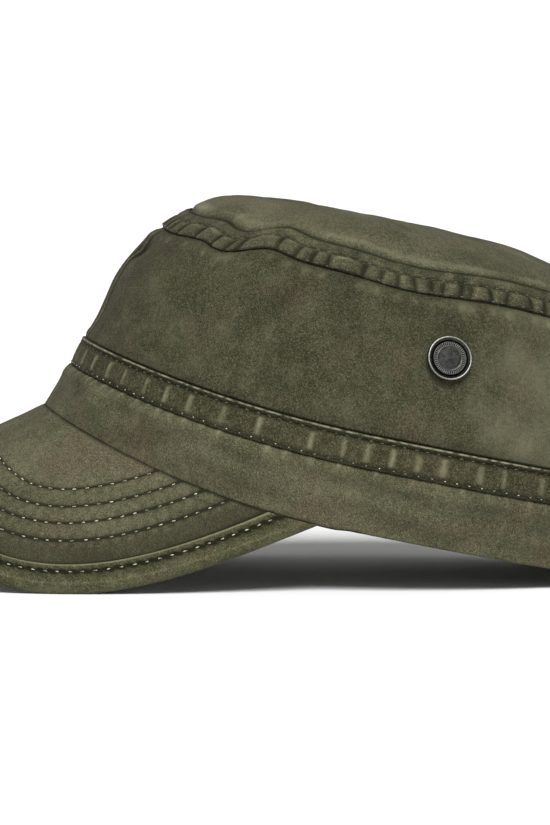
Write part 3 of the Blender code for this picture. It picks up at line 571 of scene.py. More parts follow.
CLOTH = woven_cloth("washed_cloth", (0.044, 0.044, 0.0225), (0.073, 0.070, 0.0375), (0.098, 0.093, 0.054),
                    (0.086, 0.065, 0.042), (0.180, 0.172, 0.112))
PANEL_CLOTH = woven_cloth("washed_panel_cloth", (0.026, 0.0275, 0.0135), (0.040, 0.0395, 0.0205),
                          (0.056, 0.0535, 0.030), (0.054, 0.040, 0.0255), (0.120, 0.114, 0.070))
TAPE_CLOTH = woven_cloth("washed_tape_cloth", (0.020, 0.020, 0.0085), (0.031, 0.029, 0.0135),
                         (0.043, 0.040, 0.020), (0.038, 0.029, 0.0165), (0.205, 0.195, 0.122), 0.6)
BINDING_CLOTH = woven_cloth("washed_binding_cloth", (0.029, 0.0285, 0.0130), (0.043, 0.042, 0.0200),
                            (0.068, 0.065, 0.032), (0.056, 0.045, 0.025), (0.190, 0.182, 0.112), 0.75)


def thread_finish(name, colour, pale):
    """Waxed cotton thread: one colour broken by fine noise, with twist lines as bump."""
    material, tree, shader = new_material(name)
    shader.inputs["Sheen Weight"].default_value = 0.05
    place = node(tree, "ShaderNodeTexCoord").outputs["Object"]
    mixed = blend_colours(tree, spread(tree, noise(tree, place, 1100.0, 2.0), 0.42, 0.58), colour, pale)
    tree.links.new(mixed, shader.inputs["Base Color"])
    gloss = spread(tree, noise(tree, place, 1500.0, 2.0), 0.3, 0.7, 0.55, 0.8)
    tree.links.new(gloss, shader.inputs["Roughness"])
    bump_from(tree, shader, noise(tree, place, 3200.0, 1.0), 0.4, 0.0001)
    return material


PALE_THREAD = thread_finish("pale_thread", (0.10, 0.095, 0.060), (0.44, 0.42, 0.31))
OLIVE_THREAD = thread_finish("olive_thread", (0.026, 0.025, 0.013), (0.090, 0.085, 0.053))
print("finishes:", [m.name for m in bpy.data.materials])

# %% [markdown]
# ## The puckers sewn into the tapes
# When a tape is sewn round a cap and washed, the thread shrinks and the cloth between the stitches stands
# up in small ridges. Their places on the seen side are listed by turn, and the hidden side has seeded
# random ones at the same spacing.


# %% Place the puckers
def spaced_turns(listed, first_gap, last_gap, seed):
    """The listed turns in degrees, then random steps between the two gaps until the circle is closed."""
    chance = np.random.default_rng(seed)
    turns = list(listed)
    while turns[-1] < 360.0 + listed[0] - last_gap:
        turns.append(turns[-1] + chance.uniform(first_gap, last_gap))
    turns = np.array(turns)
    spare = 360.0 + listed[0] - (first_gap + last_gap) / 2.0
    tail = turns > listed[-1]
    turns[tail] = listed[-1] + (turns[tail] - listed[-1]) * (spare - listed[-1]) / (turns[-1] - listed[-1])
    return np.radians(turns)


RIDGES = spaced_turns([14.9, 22.0, 29.1, 34.8, 41.7, 47.5, 53.3, 60.8, 68.4, 78.4, 84.3, 88.5, 92.5, 96.9,
                       101.4, 108.3, 113.0, 121.0], 4.5, 7.5, 11)
PINCHES = spaced_turns([12.0, 17.5, 23.5, 32.2, 40.2, 45.1, 47.8, 57.1, 63.0, 67.3, 71.0, 79.9, 84.1, 87.7,
                        90.9, 94.3, 96.6, 100.5, 102.6, 106.8, 110.6, 116.3], 2.6, 5.6, 12)
chance = np.random.default_rng(21)
RIDGE_HEIGHTS = chance.uniform(0.55, 1.0, len(RIDGES))
RIDGE_SPREADS = np.radians(chance.uniform(0.45, 0.85, len(RIDGES)))
LUMP_HEIGHTS = chance.uniform(0.5, 1.0, len(PINCHES))
LUMP_SLANTS = np.radians(chance.uniform(-1.6, 1.6, len(PINCHES)))


def tight_front(turn):
    """1 at the centre front, falling to 0 by a quarter of the way to the sides, as a hump of the turn."""
    return hump(turn_gap(turn, 0.0) / 0.42)


def ridges(turn):
    """The tape's ridges: a sum of humps at the listed turns."""
    gaps = turn_gap(turn[..., None], RIDGES) / RIDGE_SPREADS
    return (hump(gaps) * RIDGE_HEIGHTS).sum(axis=-1)


def lumps(turn, share):
    """The strip's lumps: between two pinches, 1 less a high power of the way from the middle."""
    place = turn % (2.0 * np.pi)
    place = np.where(place < PINCHES[0], place + 2.0 * np.pi, place)
    place = place + np.interp(place, PINCHES, LUMP_SLANTS) * (share - 0.3)
    ends = np.concatenate([PINCHES, [PINCHES[0] + 2.0 * np.pi, PINCHES[0] + 7.0]])
    found = np.clip(np.searchsorted(ends, place, side="right") - 1, 0, len(PINCHES) - 1)
    span = ends[found + 1] - ends[found]
    middle = np.abs(2.0 * (place - ends[found]) / span - 1.0)
    full = 1.0 - np.clip(middle, 0.0, 1.0) ** 2.3
    return full * LUMP_HEIGHTS[found] * np.clip(span / np.radians(5.0), 0.6, 1.05)


def tape_height(share):
    """The height at a share of the band tape's width."""
    return BAND_HEIGHT + TAPE_WIDTH * share


def strip_height(share):
    """The height at a share of the top strip's width, before the seam's waves."""
    return CROWN_HEIGHT - STRIP_WIDTH * (1.0 - share)


def round_length(height):
    """How far along the cloth each turn is at a height, as a table over the whole ring."""
    return lengths_along(crown(ring, height + np.zeros(ring.shape)))


TAPE_RUN = round_length(BAND_HEIGHT + TAPE_WIDTH / 2.0)
STRIP_RUN = round_length(CROWN_HEIGHT - STRIP_WIDTH / 2.0)
BAND_RUN = round_length(BAND_HEIGHT / 2.0)
PANEL_RUN = round_length(CROWN_HEIGHT / 2.0)
print("ridges:", len(RIDGES), "lumps:", len(PINCHES), "tape length:", round(float(TAPE_RUN[-1]) * 1000.0))

# %% [markdown]
# ## The band tape
# A folded strip of darker cotton covers the joint between band and crown. Its upper edge is a narrow roll,
# painted pale for rubbed wear and as painted highlight, with a stitch line sunk just below it and another
# along its foot.


# %% Sew on the band tape
TAPE_STAND, ROLL_STAND, RIDGE_STAND, CORD_STAND = 0.00072, 0.00105, 0.00095, 0.00026
FOOT_GROOVE, ROLL_GROOVE, TAPE_LIFT = 0.00030, 0.00034, 0.00012


def tape_out(turn, share):
    """The tape's face above the crown: rounded edges, a roll at the top, two stitch grooves, ridges."""
    turn, share = np.broadcast_arrays(turn, share)
    foot = np.sqrt(np.clip(1.0 - (1.0 - np.clip(share / 0.07, 0.0, 1.0)) ** 2, 0.0, 1.0))
    roll = np.clip(1.0 - ((share - 0.942) / 0.057) ** 2, 0.0, 1.0) ** 0.5
    at_roll = ease((share - 0.87) / 0.03)
    body = TAPE_STAND * foot * (1.0 - at_roll) + at_roll * (0.00010 + ROLL_STAND * roll)
    grooves = FOOT_GROOVE * hump((share - 0.115) / 0.035) + ROLL_GROOVE * hump((share - 0.815) / 0.038)
    middle = np.sin(np.pi * np.clip((share - 0.10) / 0.70, 0.0, 1.0)) ** 0.7
    place = crown(turn, tape_height(share))
    stand = RIDGE_STAND * ridges(turn) * middle
    loose = 0.00014 * ripple(place, 0.012, 31) * middle
    cord = CORD_STAND * ripple(place, 0.0020, 34) * hump((share - 0.95) / 0.05)
    relief = body - grooves + stand + loose + cord
    return GAP + TAPE_LIFT + relief * (1.0 - 0.70 * tight_front(turn))


def tape_wear_and_shading(turn, share):
    """Paler on the ridges and the roll, for rubbed wear and as painted highlight; painted shade in the stitch
    grooves and under the roll.
    """
    middle = ease((share - 0.12) / 0.12) * ease((0.78 - share) / 0.12)
    place = crown(turn, tape_height(share))
    uneven = 0.9 + 0.4 * ripple(place, 0.007, 32)
    pale = 0.80 * np.clip(ridges(turn) - 0.10, 0.0, 1.0) * middle * uneven
    broken = np.clip(0.75 + 1.1 * ripple(place, 0.0020, 34), 0.0, 1.3)
    roll = 1.05 * hump((share - 0.955) / 0.028) * broken
    # Painted shade in the stitch grooves and under the roll
    dark = 0.95 * hump((share - 0.840) / 0.055) + 0.80 * hump((share - 0.09) / 0.055)
    return pale + roll - dark


def ring_chart(turn, height, run):
    """UV in metres: how far along the cloth, and how high."""
    return np.stack([np.interp(turn, ring, run), np.broadcast_to(height, turn.shape)], axis=-1)


def ring_cloth(name, outer, inner, turn, height, run, material, wear_and_shading):
    """A cloth wall that runs all round the crown, with its own chart."""
    chart = ring_chart(turn, height, run)
    return cloth_wall(name, placed(outer), placed(inner), chart, material, wear_and_shading, True, float(run[-1]))


turn, share = np.meshgrid(whole_turn(1440), np.concatenate([
    np.linspace(0.0, 0.08, 7)[:-1], np.linspace(0.08, 0.80, 12)[:-1], np.linspace(0.80, 1.0, 14)]))
height = tape_height(share)
outer = crown_skin(turn, height, tape_out(turn, share))
turn_in, share_in = np.meshgrid(turn[0], [0.0, 1.0])
inner = crown_skin(turn_in, tape_height(share_in), np.full(turn_in.shape, GAP))
band_tape = ring_cloth("band_tape_cloth", outer, inner, turn, height, TAPE_RUN, TAPE_CLOTH,
                       tape_wear_and_shading(turn, share))
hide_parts("band_tape")

# %% [markdown]
# ## The lower band
# One ring of cloth from the rim to the middle of the tape. Its foot is a soft fold, its upper part is
# drawn into small puckers where the tape's lower stitch line holds it.


# %% Make the lower band
chance = np.random.default_rng(23)
TUFTS = np.cumsum(np.radians(chance.uniform(1.6, 5.2, 104)))
TUFTS = TUFTS[TUFTS < 2.0 * np.pi - 0.02]
TUFT_HEIGHTS = chance.uniform(0.15, 1.0, len(TUFTS))
TUFT_SPREADS = np.radians(chance.uniform(0.35, 0.75, len(TUFTS)))
VISOR_LAP, LAP_HEIGHT = 0.0006, 0.003
TUFT_STAND, BAND_FULLNESS = 0.00045, 0.00055


def tufts(turn):
    """Where the tape's lower stitches pinch the band up: humps of random size at random turns."""
    gaps = turn_gap(turn[..., None], TUFTS) / TUFT_SPREADS
    return (hump(gaps) * TUFT_HEIGHTS).sum(axis=-1)


def band_out(turn, height):
    """Small puckers under the tape that fade down the band, and a loose unevenness."""
    under = BAND_HEIGHT - height
    drawn = hump(under / 0.0045) * np.clip((BAND_HEIGHT + 0.0002 - height) / 0.001, 0.0, 1.0)
    place = crown(turn, height)
    loose = 0.00030 * ripple(place, 0.030, 41) + 0.00010 * ripple(place, 0.009, 42)
    held = ease(height / 0.006) * ease(under / 0.002)
    full = BAND_FULLNESS * hump((under - 0.0012) / 0.0035) * ease(under / 0.0010)
    return TUFT_STAND * (tufts(turn) - 0.3) * drawn + loose * held + full


def rounded_foot(height, depth):
    """The fold at the rim: a quarter circle of the depth's radius that turns the wall inwards."""
    near = np.clip(1.0 - height / depth, 0.0, 1.0)
    return -depth * (1.0 - np.sqrt(1.0 - near ** 2))


def visor_lap(turn, height):
    """How far the front of the rim hangs over the visor's root, fading up the band as a hump."""
    return VISOR_LAP * ease((np.cos(turn) - 0.02) / 0.06) * hump(height / LAP_HEIGHT)


foot = np.array([0.0, 0.03, 0.12, 0.28, 0.5, 0.75, 1.0]) * WALL / 2.0
heights = np.concatenate([foot, np.linspace(WALL / 2.0, BAND_HEIGHT, 40)[1:],
                          [BAND_HEIGHT + 0.001, BAND_HEIGHT + TAPE_WIDTH / 2.0 - GAP / 2.0]])
turn, height = np.meshgrid(whole_turn(900), heights)
out = rounded_foot(height, WALL / 2.0) + band_out(turn, height)
outer = settled(crown_skin(turn, height - visor_lap(turn, height), out), heights)
back = np.concatenate([foot, [0.004, 0.010, 0.016, heights[-1]]])
turn_in, height_in = np.meshgrid(turn[0], back)
out_in = -WALL - rounded_foot(height_in, WALL / 2.0)
inner = settled(crown_skin(turn_in, height_in - visor_lap(turn_in, height_in), out_in), back)
drawn = hump((BAND_HEIGHT - height - 0.0008) / 0.0022)
# Paler on the tufts, for rubbed wear and as painted highlight; painted shade just under the tape's foot
wear_and_shading = 0.90 * tufts(turn) * drawn - 0.19 - 0.85 * hump((BAND_HEIGHT - height) / 0.0006)
wear_and_shading = wear_and_shading + 0.16 * hump(height / 0.0010) * (1.0 + ripple(outer, 0.006, 43))
wear_and_shading = wear_and_shading + 0.26 * np.clip(ripple(outer * np.array([1.0, 0.6, 2.0]), 0.014, 44), -0.7, 1.3)
# Painted shade along the rim's foot on the front half, where it laps over the visor
wear_and_shading = wear_and_shading - 0.85 * hump(height / 0.0006) * (np.cos(turn) > 0.0)
lower_band = ring_cloth("lower_band_cloth", outer, inner, turn, height, BAND_RUN, CLOTH, wear_and_shading)
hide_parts("lower_band")

# %% [markdown]
# ## The side panels
# Two panels meet at the centre front and the centre back. The left one is folded over the right one and
# sewn down, so a low step with two stitch lines runs down the front. Under the top seam the cloth is
# drawn into short puckers that line up with the strip's pinches.


# %% Make the side panels
FELL_WIDTH, FELL_STEP, FELL_GROOVE = 0.0105, 0.00050, 0.00022
FELL_LINES = (0.0016, FELL_WIDTH - 0.0014)
BUTTON_TURN, BUTTON_HEIGHT = math.radians(99.0), 0.0578


def fell(place):
    """The folded-over seam: a low step from the centre line to its width, with its two stitch grooves."""
    across = np.abs(place[..., 0])
    step_up = ease(across / 0.0008) * ease((FELL_WIDTH - across) / 0.0009)
    groove = sum(hump((across - line) / 0.0005) for line in FELL_LINES)
    return FELL_STEP * step_up - FELL_GROOVE * groove * step_up


def dent(place, height):
    """The short pucker beside the front seam: a hump across times a hump up, on the front half only."""
    sunk = hump((place[..., 0] - 0.0125) / 0.0045) * hump((height - 0.0672) / 0.0028)
    return sunk * (place[..., 1] < 0.0)


def panel_out(turn, height, left):
    """Puckers under the strip and over the tape, loose unevenness, and the fell on the left panel."""
    place = crown(turn, height)
    hem = STRIP_FOOT + wave(turn)
    above, below = height - TAPE_TOP, hem - height
    under_strip = hump(below / 0.0052) * np.clip((hem + 0.0004 - height) / 0.001, 0.0, 1.0)
    over_tape = hump(above / 0.0030) * np.clip((above + 0.0002) / 0.001, 0.0, 1.0)
    shape = 0.00055 * (lumps(turn, 0.0 * turn) - 0.75) * under_strip
    shape = shape + 0.00016 * (ridges(turn) - 0.25) * over_tape
    loose = 0.00042 * ripple(place, 0.042, 51) + 0.00016 * ripple(place, 0.015, 52)
    loose = loose + 0.00006 * ripple(place, 0.006, 53)
    held = ease(above / 0.003) * ease(below / 0.002)
    pucker = -0.0012 * dent(place, height)

    # The cloth stands full beside the tape and the strip, and is drawn in flat at the centre front
    full = 0.00090 * hump((above - 0.0012) / 0.0050) * ease(above / 0.0010)
    full = full + 0.00100 * hump((below - 0.0014) / 0.0040) * ease(below / 0.0012)
    flare = 0.0012 * hump((above - 0.0010) / 0.0020) + 0.0003 * hump((below - 0.0012) / 0.0022)
    drawn_in = 0.0014 * hump((above - 0.004) / 0.008) + 0.0006 * hump((hem - 0.006 - height) / 0.010)
    near_front = hump(turn_gap(turn, 0.0) / 0.36) * ease(above / 0.0008) * ease(below / 0.0010)
    full = full * (1.0 - tight_front(turn)) + (flare - drawn_in) * near_front
    out = shape + loose * held + pucker * held + full
    return out + fell(place) * held if left else out - 0.00040 * hump(place[..., 0] / 0.0009) * held


def panel_wear_and_shading(turn, height, place, left):
    """Painted shade by the tape, under the strip, in the seams and the dent; paler puckers, for rubbed wear
    and as painted highlight.
    """
    hem = STRIP_FOOT + wave(turn)
    below = hem - height
    # Painted shade just above the tape, under the strip's roll and in a band below the strip; the puckers
    # there are painted paler, for rubbed wear and as painted highlight
    dark = 0.95 * hump((height - TAPE_TOP) / 0.0007) + 0.10 * hump(below / 0.0006)
    dark = dark + 0.14 * hump((hem - 0.005 - height) / 0.007)
    pale = 0.85 * hump((below - 0.0027) / 0.0012) * np.clip(0.78 - lumps(turn, 0.0 * turn), 0.0, 1.0)
    pale = pale + 0.10 * hump((below - 0.0010) / 0.0006)

    # The panel is paler behind the button, and a little beside the front
    pale = pale + 0.55 * ease((turn - 1.62) / 0.50) * ease((2.95 - turn) / 0.60)
    pale = pale + 0.10 * hump((turn - 0.75) / 0.25)
    wear_and_shading = pale + 0.20 * ripple(place, 0.013, 54) - 0.02 - dark
    if left:
        beyond = np.abs(place[..., 0]) - FELL_WIDTH
        # The fell: painted shade beside its edge and along its stitch line, its folded edge paler for rubbed
        # wear and as painted highlight, and painted shade in the dent
        line = hump((beyond - 0.0002) / 0.0010) + 0.6 * hump((beyond + 0.0022) / 0.0006)
        rub_and_highlight = 1.40 * hump((beyond + 0.0011) / 0.0008)
        wear_and_shading = wear_and_shading + rub_and_highlight - line - 0.85 * dent(crown(turn, height), height)
        # The cloth is made darker round the button
        button_at = crown(np.array([BUTTON_TURN]), np.array([BUTTON_HEIGHT]))[0]
        wear_and_shading = wear_and_shading - 0.32 * hump(np.linalg.norm(crown(turn, height) - button_at, axis=-1) / 0.0100)
    # Painted shade in the centre seam's groove
    return wear_and_shading - 0.6 * hump(place[..., 0] / 0.0006)


def side_panel(name, side):
    """A panel from the front to the back seam; its rows follow the top seam's waves."""
    margin = (GAP if side < 0.0 else -2.0 * GAP) / CROWN_WIDTH
    near_seam = 0.16
    near_front = np.linspace(margin, near_seam, 52)[:-1]
    near_back = np.pi - near_front[::-1]
    turns = side * np.concatenate([near_front, np.linspace(near_seam, np.pi - near_seam, 322), near_back])
    heights = np.concatenate([
        [BAND_HEIGHT + TAPE_WIDTH / 2.0 + GAP / 2.0, TAPE_TOP - 0.0010],
        np.linspace(TAPE_TOP, TAPE_TOP + 0.004, 10)[:-1],
        np.linspace(TAPE_TOP + 0.004, STRIP_FOOT - 0.008, 62)[:-1],
        np.linspace(STRIP_FOOT - 0.008, STRIP_FOOT, 20),
        [STRIP_FOOT + 0.0010, CROWN_HEIGHT - STRIP_WIDTH / 2.0 - GAP / 2.0]])
    turn, height = np.meshgrid(turns, heights)
    height = height + wave(turn) * np.clip((height - TAPE_TOP) / (STRIP_FOOT - TAPE_TOP), 0.0, 1.0)
    out = panel_out(turn, height, side > 0.0)
    outer = crown_skin(turn, height, out)
    rows = [0, 4, 11, 20, 30, 40, 50, 60, 71, 76, 81, 86, 90, len(heights) - 1]
    inner = crown_skin(turn[rows], height[rows], np.minimum(out[rows], 0.0) - WALL)
    chart = ring_chart(turn if side > 0.0 else turn + 2.0 * np.pi, height, PANEL_RUN)
    wear_and_shading = panel_wear_and_shading(turn, height, outer, side > 0.0)
    piece = cloth_wall(name + "_cloth", placed(outer), placed(inner), chart, PANEL_CLOTH, wear_and_shading, False)
    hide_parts(name)
    return piece


panel_left = side_panel("side_panel_left", 1.0)
panel_right = side_panel("side_panel_right", -1.0)

# %% [markdown]
# ## The strip under the top seam
# The seam's spare cloth is folded down and sewn flat in two rows. Above, it lies flat in the shade of the
# top panel. Below, it is a puckered roll of small lumps, pinched where the thread has drawn it in.


# %% Sew down the strip
LUMP_STAND, FLAT_STAND, STRIP_GROOVE = 0.00150, 0.00062, 0.00026


def strip_out(turn, share):
    """The strip's face above the crown: the roll of lumps below, a groove, then flat up to the seam."""
    turn, share = np.broadcast_arrays(turn, share)
    full = lumps(turn, share)
    crest = 0.225 + 0.065 * full
    roll = np.sqrt(np.clip(1.0 - ((share - crest) / (crest + 0.01)) ** 2, 0.0, 1.0))
    edge = np.sqrt(np.clip(share / 0.05, 0.0, 1.0))
    tight = 1.0 - 0.80 * tight_front(turn)
    low = 0.00035 * edge + tight * (0.00020 + LUMP_STAND * full) * roll
    flat = (FLAT_STAND + 0.00016 * full) * (0.4 + 0.6 * tight)
    upper = flat * (1.0 - ease((share - 0.86) / 0.14)) + 0.00010
    over = ease((share - 0.52) / 0.08)
    groove = STRIP_GROOVE * hump((share - 0.585) / 0.035) + 0.00012 * hump((share - 0.80) / 0.05)
    place = crown(turn, strip_height(share))
    loose = 0.00014 * ripple(place, 0.009, 61) * ease(share / 0.1) * ease((0.95 - share) / 0.1)
    return STRIP_GAP + low * (1.0 - over) + upper * over - groove + loose


def strip_wear_and_shading(turn, share):
    """Painted highlight on the lumps' tops and lit sides; painted shade in the pinches, the groove, the seam
    and under the top panel.
    """
    full = lumps(turn, share)
    place = crown(turn, strip_height(share))
    rolled = 1.0 - ease((share - 0.50) / 0.06)
    crest = 0.95 * hump((share - 0.40 - 0.08 * full) / 0.085) * np.clip(full - 0.30, 0.0, 1.0)
    # Painted side light: each lump's side towards the lamp is painted paler, the other side darker
    lit = 0.55 * np.clip(lumps(turn + 0.012, share) - lumps(turn - 0.012, share), -0.7, 1.0)
    pinch = 1.60 * np.clip(0.52 - full, 0.0, 1.0)
    dark = 0.85 * hump((share - 0.585) / 0.045) + 0.90 * ease((share - 0.90) / 0.10)
    dark = dark + 0.15 * hump(share / 0.04)
    # The flat part above the groove gets painted shade from the top panel's overhang, broken by a grain
    grain = 0.35 * np.clip(ripple(place, 0.0045, 63), -0.4, 1.0) * (share > 0.62)
    flat = 0.40 * ease((share - 0.60) / 0.06) - grain
    return (crest + lit - pinch - 0.26) * rolled - dark - flat + 0.16 * ripple(place, 0.006, 62)


turn, share = np.meshgrid(whole_turn(1440), np.concatenate([
    np.linspace(0.0, 0.06, 5)[:-1], np.linspace(0.06, 0.56, 16)[:-1], np.linspace(0.56, 1.0, 14)]))
height = strip_height(share) + wave(turn)
outer = crown_skin(turn, height, strip_out(turn, share))
turn_in, share_in = np.meshgrid(turn[0], [0.0, 0.5, 1.0])
height_in = strip_height(share_in) + wave(turn_in)
inner = crown_skin(turn_in, height_in, np.full(turn_in.shape, STRIP_GAP))
seam_strip = ring_cloth("top_seam_strip", outer, inner, turn, height, STRIP_RUN, CLOTH,
                        strip_wear_and_shading(turn, share))
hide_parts("top_seam_tape")

# %% [markdown]
# ## The top panel
# An oval of cloth, a little too large for the seam, so that it puffs up beside the seam and slumps in the
# middle. Its grid ends in one point at the pole, which closes the mesh.


# %% Make the top panel
PUFF_STAND, RADIAL_STAND, SLACK_STAND, SLACK_SIZE = 0.00095, 0.00030, 0.00075, 0.046


def top_out(turn, inward):
    """A puff beside the seam, short radial puckers, and loose unevenness that fades at the seam."""
    place = dome(turn, inward)
    edge = inward * CROWN_WIDTH / 2.0
    puff = PUFF_STAND * ease(edge / 0.0022) * hump(edge / 0.012)
    drawn = hump((edge - 0.002) / 0.006)
    radial = RADIAL_STAND * (lumps(turn, 0.3 + 0.0 * turn) - 0.7) * drawn * ease(edge / 0.002)
    loose = SLACK_STAND * ripple(place, SLACK_SIZE, 71) + 0.00030 * ripple(place, 0.018, 72)
    loose = loose + 0.00008 * ripple(place, 0.007, 73)
    return puff + radial + loose * ease(edge / 0.012)


turns = whole_turn(720)
columns = len(turns)
start = CROWN_HEIGHT - STRIP_WIDTH / 2.0 + GAP / 2.0
turn, height = np.meshgrid(turns, np.array([start, CROWN_HEIGHT - SEAM_ROLL]))
lap = crown_skin(turn, height + wave(turn), np.zeros(turn.shape))
lap_in = crown_skin(turn, height + wave(turn), np.full(turn.shape, -WALL))
inwards = np.concatenate([np.linspace(0.004, 0.05, 12)[:-1], np.linspace(0.05, 0.97, 60)])
turn_top, inward = np.meshgrid(turns, inwards)
top = dome_skin(turn_top, inward, top_out(turn_top, inward))
outer = np.concatenate([lap, top])
turn_in, inward_in = np.meshgrid(turns, np.array([0.03, 0.10, 0.22, 0.40, 0.66, 0.90]))
inner = np.concatenate([lap_in, dome_skin(turn_in, inward_in, np.full(turn_in.shape, -WALL))])
middle = np.zeros(1), np.ones(1)
pole = dome_skin(*middle, SLACK_STAND * ripple(dome(*middle), SLACK_SIZE, 71))
pole_in = dome_skin(*middle, np.full(1, -WALL))
points = np.concatenate([outer.reshape(-1, 3), inner.reshape(-1, 3), pole, pole_in])

# The ring of faces that would join the two inmost rows is left out, and a fan closes each face
faces = wall_faces(len(outer), len(inner), columns, True)[:-columns]
last_out, last_in = (len(outer) - 1) * columns, (len(outer) + len(inner) - 1) * columns
faces += fan(last_out, columns, len(points) - 2).tolist()
faces += fan(last_in, columns, len(points) - 1)[:, [1, 0, 2]].tolist()
edge = inward * CROWN_WIDTH / 2.0
# Painted shade in the seam and on the lap tucked into it; paler on the puff beside the seam, for rubbed wear
# and as painted highlight, and in random patches
dark = 0.85 * hump(edge / 0.0010)
beside_seam = 0.70 * hump((edge - 0.0032) / 0.0016)
pale = 0.24 * ripple(top, 0.024, 74) + beside_seam * (0.5 + 0.5 * ripple(top, 0.018, 75))
wear_and_shading = np.zeros(len(points))
wear_and_shading[2 * columns:len(outer) * columns] = (pale - dark).ravel()
wear_and_shading[:2 * columns] = -0.8
crown_top = mesh_piece("crown_top_cloth", placed(points), faces, points[:, :2], CLOTH, wear_and_shading)
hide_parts("crown_top")

# %% [markdown]
# ## The visor
# Two cloths sewn together in four rows that run parallel to the edge. Each stitch pulls the cloth down, so
# a row is a sunk line, painted dark as painted shade, with small puckers on both sides that get painted light
# and shade. The distance from the outline, measured on the unrolled pipe, says where each row runs.

# %% Measure how far each point of the visor is from its outline
ROW_INSETS = np.array([0.0174, 0.02355, 0.0295, 0.0361])
STITCH_PITCH = 0.0040
FLAT_WAYS = np.linspace(-1.0, 1.0, 1201) * outline_end(0.0)[0]
FLAT_ANGLE, FLAT_RUN = visor_outline(FLAT_WAYS, 0.0)
FLAT_LINE = np.stack([FLAT_ANGLE * VISOR_RADIUS, FLAT_RUN], axis=-1)


def near_outline(flat, step=1):
    """For points of the unrolled pipe, the distance to the outline and the nearest point's number."""
    gaps = np.hypot(*(flat[:, None, :] - FLAT_LINE[None, ::step, :]).transpose(2, 0, 1))
    return gaps.min(axis=1), gaps.argmin(axis=1) * step


def from_edge(angle, run):
    """Each point's distance to the outline and the number of the outline's nearest point."""
    flat = np.stack([angle * VISOR_RADIUS, run], axis=-1)
    rows = [near_outline(row) for row in flat]
    return np.array([distance for distance, number in rows]), np.array([number for distance, number in rows])


def row_line(inset):
    """A stitch row: the outline moved in by the inset, less what passes the seam or crosses itself."""
    angle, run = visor_outline(FLAT_WAYS, inset)
    distance = from_edge(angle[None, :], run[None, :])[0][0]
    ahead = run - np.interp(np.abs(angle), SEAM_ANGLES, SEAM_RUNS)
    kept = (distance > inset - 0.0004) & (ahead > 0.0006)
    return angle[kept], run[kept]


# Each row: its angles and runs, the outline's number beside each point, and how far along it is
ROWS = []
for inset in ROW_INSETS:
    angle, run = row_line(inset)
    beside = near_outline(np.stack([angle * VISOR_RADIUS, run], axis=-1), 4)[1]
    length = np.concatenate([[0.0], np.cumsum(np.hypot(np.diff(angle) * VISOR_RADIUS, np.diff(run)))])
    ROWS.append((angle, run, beside, length))
    print(f"row {inset * 1000:.1f} mm in: {length[-1] * 1000:.0f} mm long")


# %% Make the visor's two cloths
ROW_GROOVE, ROW_HOLLOW, ROW_PUCKER = 0.00048, 0.00022, 0.00020


def visor_relief(angle, run):
    """The rows' grooves and puckers and a loose unevenness, with painted shade in the grooves and painted
    light and shade on the puckers.
    """
    distance, number = from_edge(angle, run)
    place = pipe(angle, run, 0.0)
    out = 0.00018 * ripple(place, 0.020, 81) + 0.00008 * ripple(place, 0.008, 82)
    wear_and_shading = np.zeros(distance.shape)
    for (_, _, beside, length), inset, seed in zip(ROWS, ROW_INSETS, (91, 92, 93, 94)):
        along = np.interp(number, beside, length)
        off = distance - inset
        pull = 0.5 - 0.5 * np.cos(2.0 * np.pi * along / STITCH_PITCH)
        uneven = 1.0 + 0.5 * ripple(place, 0.012, seed)
        out = out - ROW_GROOVE * hump(off / 0.00075) - ROW_HOLLOW * hump(off / 0.0026)
        out = out + ROW_PUCKER * uneven * (pull - 0.5) * hump((np.abs(off) - 0.0011) / 0.0011)
        # Painted shade in each row's groove, and painted light and shade on the puckers beside it
        wear_and_shading = wear_and_shading - 1.10 * hump(off / 0.00048)
        wear_and_shading = wear_and_shading - 0.22 * hump((np.abs(off) - 0.0009) / 0.0012) * (1.0 - pull)
        wear_and_shading = wear_and_shading + 0.16 * hump((np.abs(off) - 0.0019) / 0.0009) * pull * uneven
    # Painted shade beside the binding's hem, deeper towards the outer edge, and at the root under the band
    wear_and_shading = wear_and_shading - 0.55 * hump((distance - BINDING_WIDTH + 0.0002) / 0.0009)
    wear_and_shading = wear_and_shading - 0.22 * ease((0.040 - distance) / 0.012) - 0.42 * ease((0.022 - distance) / 0.010)
    wear_and_shading = wear_and_shading + 0.10 * ripple(place, 0.018, 83)
    root = run - np.interp(np.abs(angle), SEAM_ANGLES, SEAM_RUNS)
    wear_and_shading = wear_and_shading - 0.80 * hump(root / 0.0008)
    calm = ease((distance - BINDING_WIDTH - 0.0004) / 0.0015) * ease(root / 0.0015)
    return out * calm, wear_and_shading


